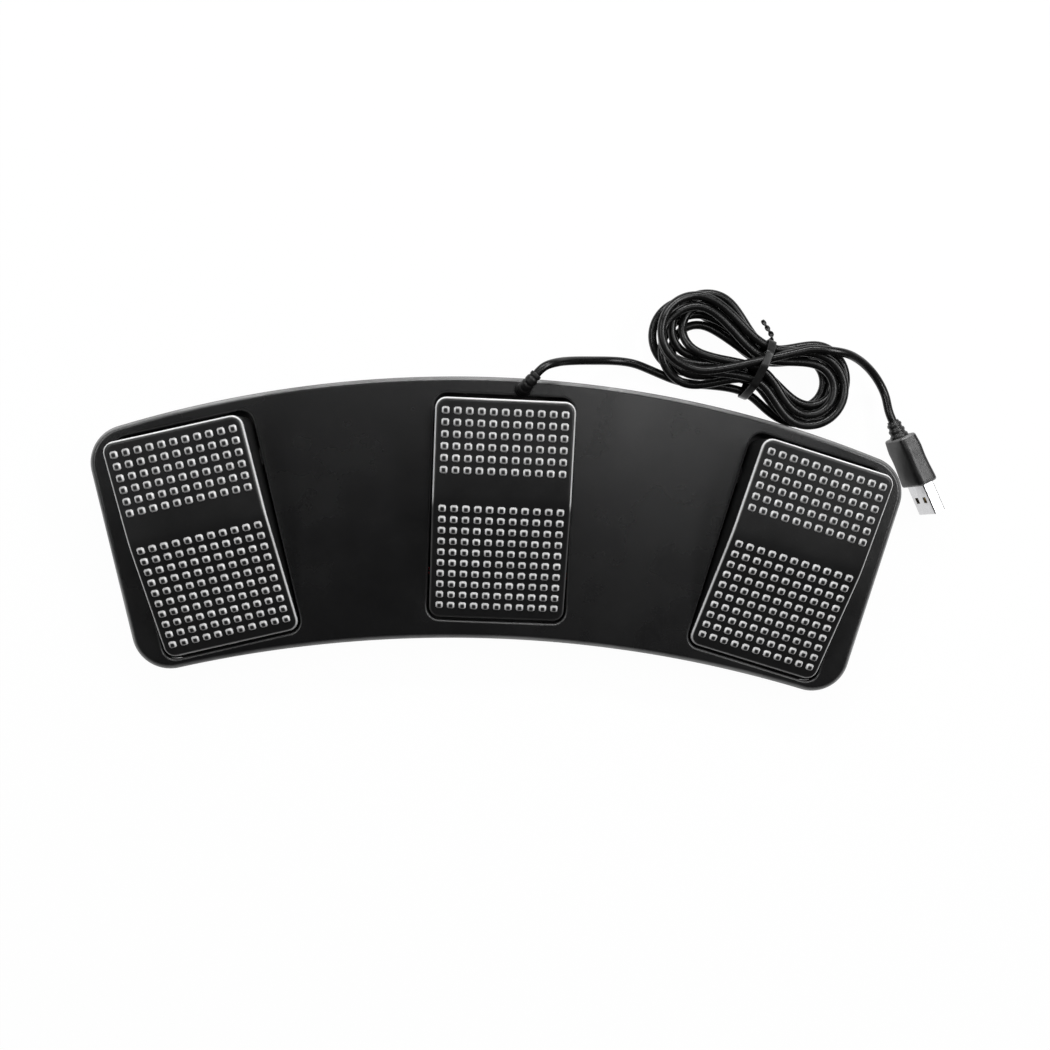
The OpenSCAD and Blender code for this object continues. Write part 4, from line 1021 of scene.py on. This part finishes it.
# from a switch down to the floor, past the pedal, along a run of its own and up to its header
def wireRoute(side, out, header, run, w, b):
    v = -w["switchFront"] - w["front"]
    steps = [(w["half"] + u, z) for u, z in w["drop"]] + [(pedal["width"] / 2 + w["past"], w["low"])]
    leave = [onPedal(np.array([out * u, v, z]), side) for u, z in steps]
    u, front = b["plugPitch"] * (header - 1), -b["length"] / 2
    arrive = [onBoard(u, front - w["near"], w["low"] + w["nearRise"]),
              onBoard(u, front - w["levelFrom"], plugZ), onBoard(u, front + w["inside"], plugZ)]
    return np.array(leave + run + arrive)


# the pair lies side by side: each wire is the route moved level and square to its heading
def pairPatches(p, w):
    t = np.gradient(p, axis=0)
    aside = unitRows(stack(t[:, 1], -t[:, 0], 0))
    return wireTube(p - w["apart"] * aside, w["r"], w) + wireTube(p + w["apart"] * aside, w["r"], w)


def switchRun(u, v, w):  # a place on the floor, across and back from the middle switch
    return onPedal(np.array([u, v - w["switchFront"], w["low"]]), 0)


def boardRun(u, gap, w):  # a place on the floor in front of the main board
    return [onBoard(u, -board["length"] / 2 - gap, w["low"])]


runs = {"left": [switchRun(u, v, wires) for u, v in wires["leftRun"]],
        "middle": boardRun(*wires["middleRun"], wires), "right": boardRun(*wires["rightRun"], wires)}
for header, (word, side) in enumerate(sideOf.items()):
    points = wireRoute(side, wires["leaves"][word], header, runs[word], wires, board)
    pair = makePiece(word + "_lead_pair", pairPatches(points, wires), "base", finish["lead"])
    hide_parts(word + "_switch_leads")
print("wires made")


# solids that keep their own shape get their finish here
perPedal = {"hinge_pin": "steel", "switch_board": "board", "switch_body": "chip",
            "switch_plunger": "plunger"}
carried = {
    "bottom_cover": "cover", "cable_clamp": "cover", "pedal_bumpers": "rubber", "main_board": "board",
    "controller_chip": "chip", "crystal": "steel", "cable_header": "header", "switch_headers": "header",
    "board_screws": "steel", "housing_screws": "steel", "plug_shell": "shell", "plug_tongue": "header",
    "plug_contacts": "contact"}
carried.update({word + "_" + part: name for word in sideOf for part, name in perPedal.items()})
for nodeName, finishName in carried.items():
    nodes[nodeName].data.materials.clear()
    nodes[nodeName].data.materials.append(finish[finishName])
print("finishes given to", len(carried), "solids")


# stage, in metres: a white floor that keeps a faint shadow, a white surround and five soft lamps, one
# beside each end, one behind and two high above
stage = {"floor": 4.0, "tone": 0.92, "rough": 0.9, "spec": 0.1, "glow": 0.975, "surround": 0.08}
# name, place, target, width and length, power
lamps = [("lamp_left", (-0.50, 0.20, 0.62), (-0.05, 0, 0.02), (0.14, 0.5), 1.6),
         ("lamp_right", (0.52, 0.20, 0.62), (0.05, 0, 0.02), (0.14, 0.5), 3.0),
         ("lamp_back", (0, 0.66, 0.50), (0, 0, 0.02), (0.7, 0.12), 4.6),
         ("lamp_above", (0.24, 0.20, 1.25), (0, 0, 0), (0.26, 0.26), 1.2),
         ("lamp_far", (-0.18, 0.26, 1.25), (0, 0, 0), (0.2, 0.2), 0.4)]
white = (1, 1, 1, 1)


def seenDirectly(tree):  # 1 for what the camera, a reflection or a see-through piece looks at
    path = addNode(tree, "ShaderNodeLightPath").outputs
    first = combine(tree, "MAXIMUM", path["Is Camera Ray"], path["Is Glossy Ray"])
    return combine(tree, "MAXIMUM", first, path["Is Transmission Ray"])


def makeFloor(s):  # looked at, it is mostly an even white; as a surface it is plain matt
    h = s["floor"] / 2
    mesh = bpy.data.meshes.new("floor")
    mesh.from_pydata([(-h, -h, 0), (h, -h, 0), (h, h, 0), (-h, h, 0)], [], [(0, 1, 2, 3)])
    made = bpy.data.objects.new("floor", mesh)
    scene.collection.objects.link(made)
    material, tree, shader = nodeMaterial("floor_white")
    feed(tree, shader, {"Base Color": grey(s["tone"]), "Roughness": s["rough"],
                        "Specular IOR Level": s["spec"]})
    glow = addNode(tree, "ShaderNodeEmission", {"Color": white, "Strength": 1.0})
    share = combine(tree, "MULTIPLY", seenDirectly(tree), s["glow"])
    mix = addNode(tree, "ShaderNodeMixShader", {0: share, 1: shader.outputs[0], 2: glow.outputs[0]})
    feed(tree, tree.nodes["Material Output"], {"Surface": mix.outputs[0]})
    mesh.materials.append(material)


def makeSurround(s):  # full white to the camera, dim as a light
    world = bpy.data.worlds.new("surround")
    world.use_nodes = True
    tree = world.node_tree
    dim = tree.nodes["Background"]
    feed(tree, dim, {"Color": white, "Strength": s["surround"]})
    bright = addNode(tree, "ShaderNodeBackground", {"Color": white, "Strength": 1.0})
    seen = addNode(tree, "ShaderNodeLightPath").outputs["Is Camera Ray"]
    mix = addNode(tree, "ShaderNodeMixShader", {0: seen, 1: dim.outputs[0], 2: bright.outputs[0]})
    feed(tree, tree.nodes["World Output"], {"Surface": mix.outputs[0]})
    scene.world = world


def makeLamp(name, place, target, size, power):  # an area lamp at its place, facing its target
    data = bpy.data.lights.new(name, "AREA")
    data.shape, data.size, data.size_y, data.energy = "RECTANGLE", size[0], size[1], power
    made = bpy.data.objects.new(name, data)
    z = unitRows(np.array(place) - np.array(target))
    nearlyBack = np.array([0, 1.0, 0.02])
    x = unitRows(np.cross(nearlyBack, z))
    turn = np.eye(4)
    turn[:3, 0], turn[:3, 1], turn[:3, 2], turn[:3, 3] = x, np.cross(z, x), z, place
    made.matrix_world = Matrix(turn)
    scene.collection.objects.link(made)


makeFloor(stage)
makeSurround(stage)
for lamp in lamps:
    makeLamp(*lamp)
print("stage made")
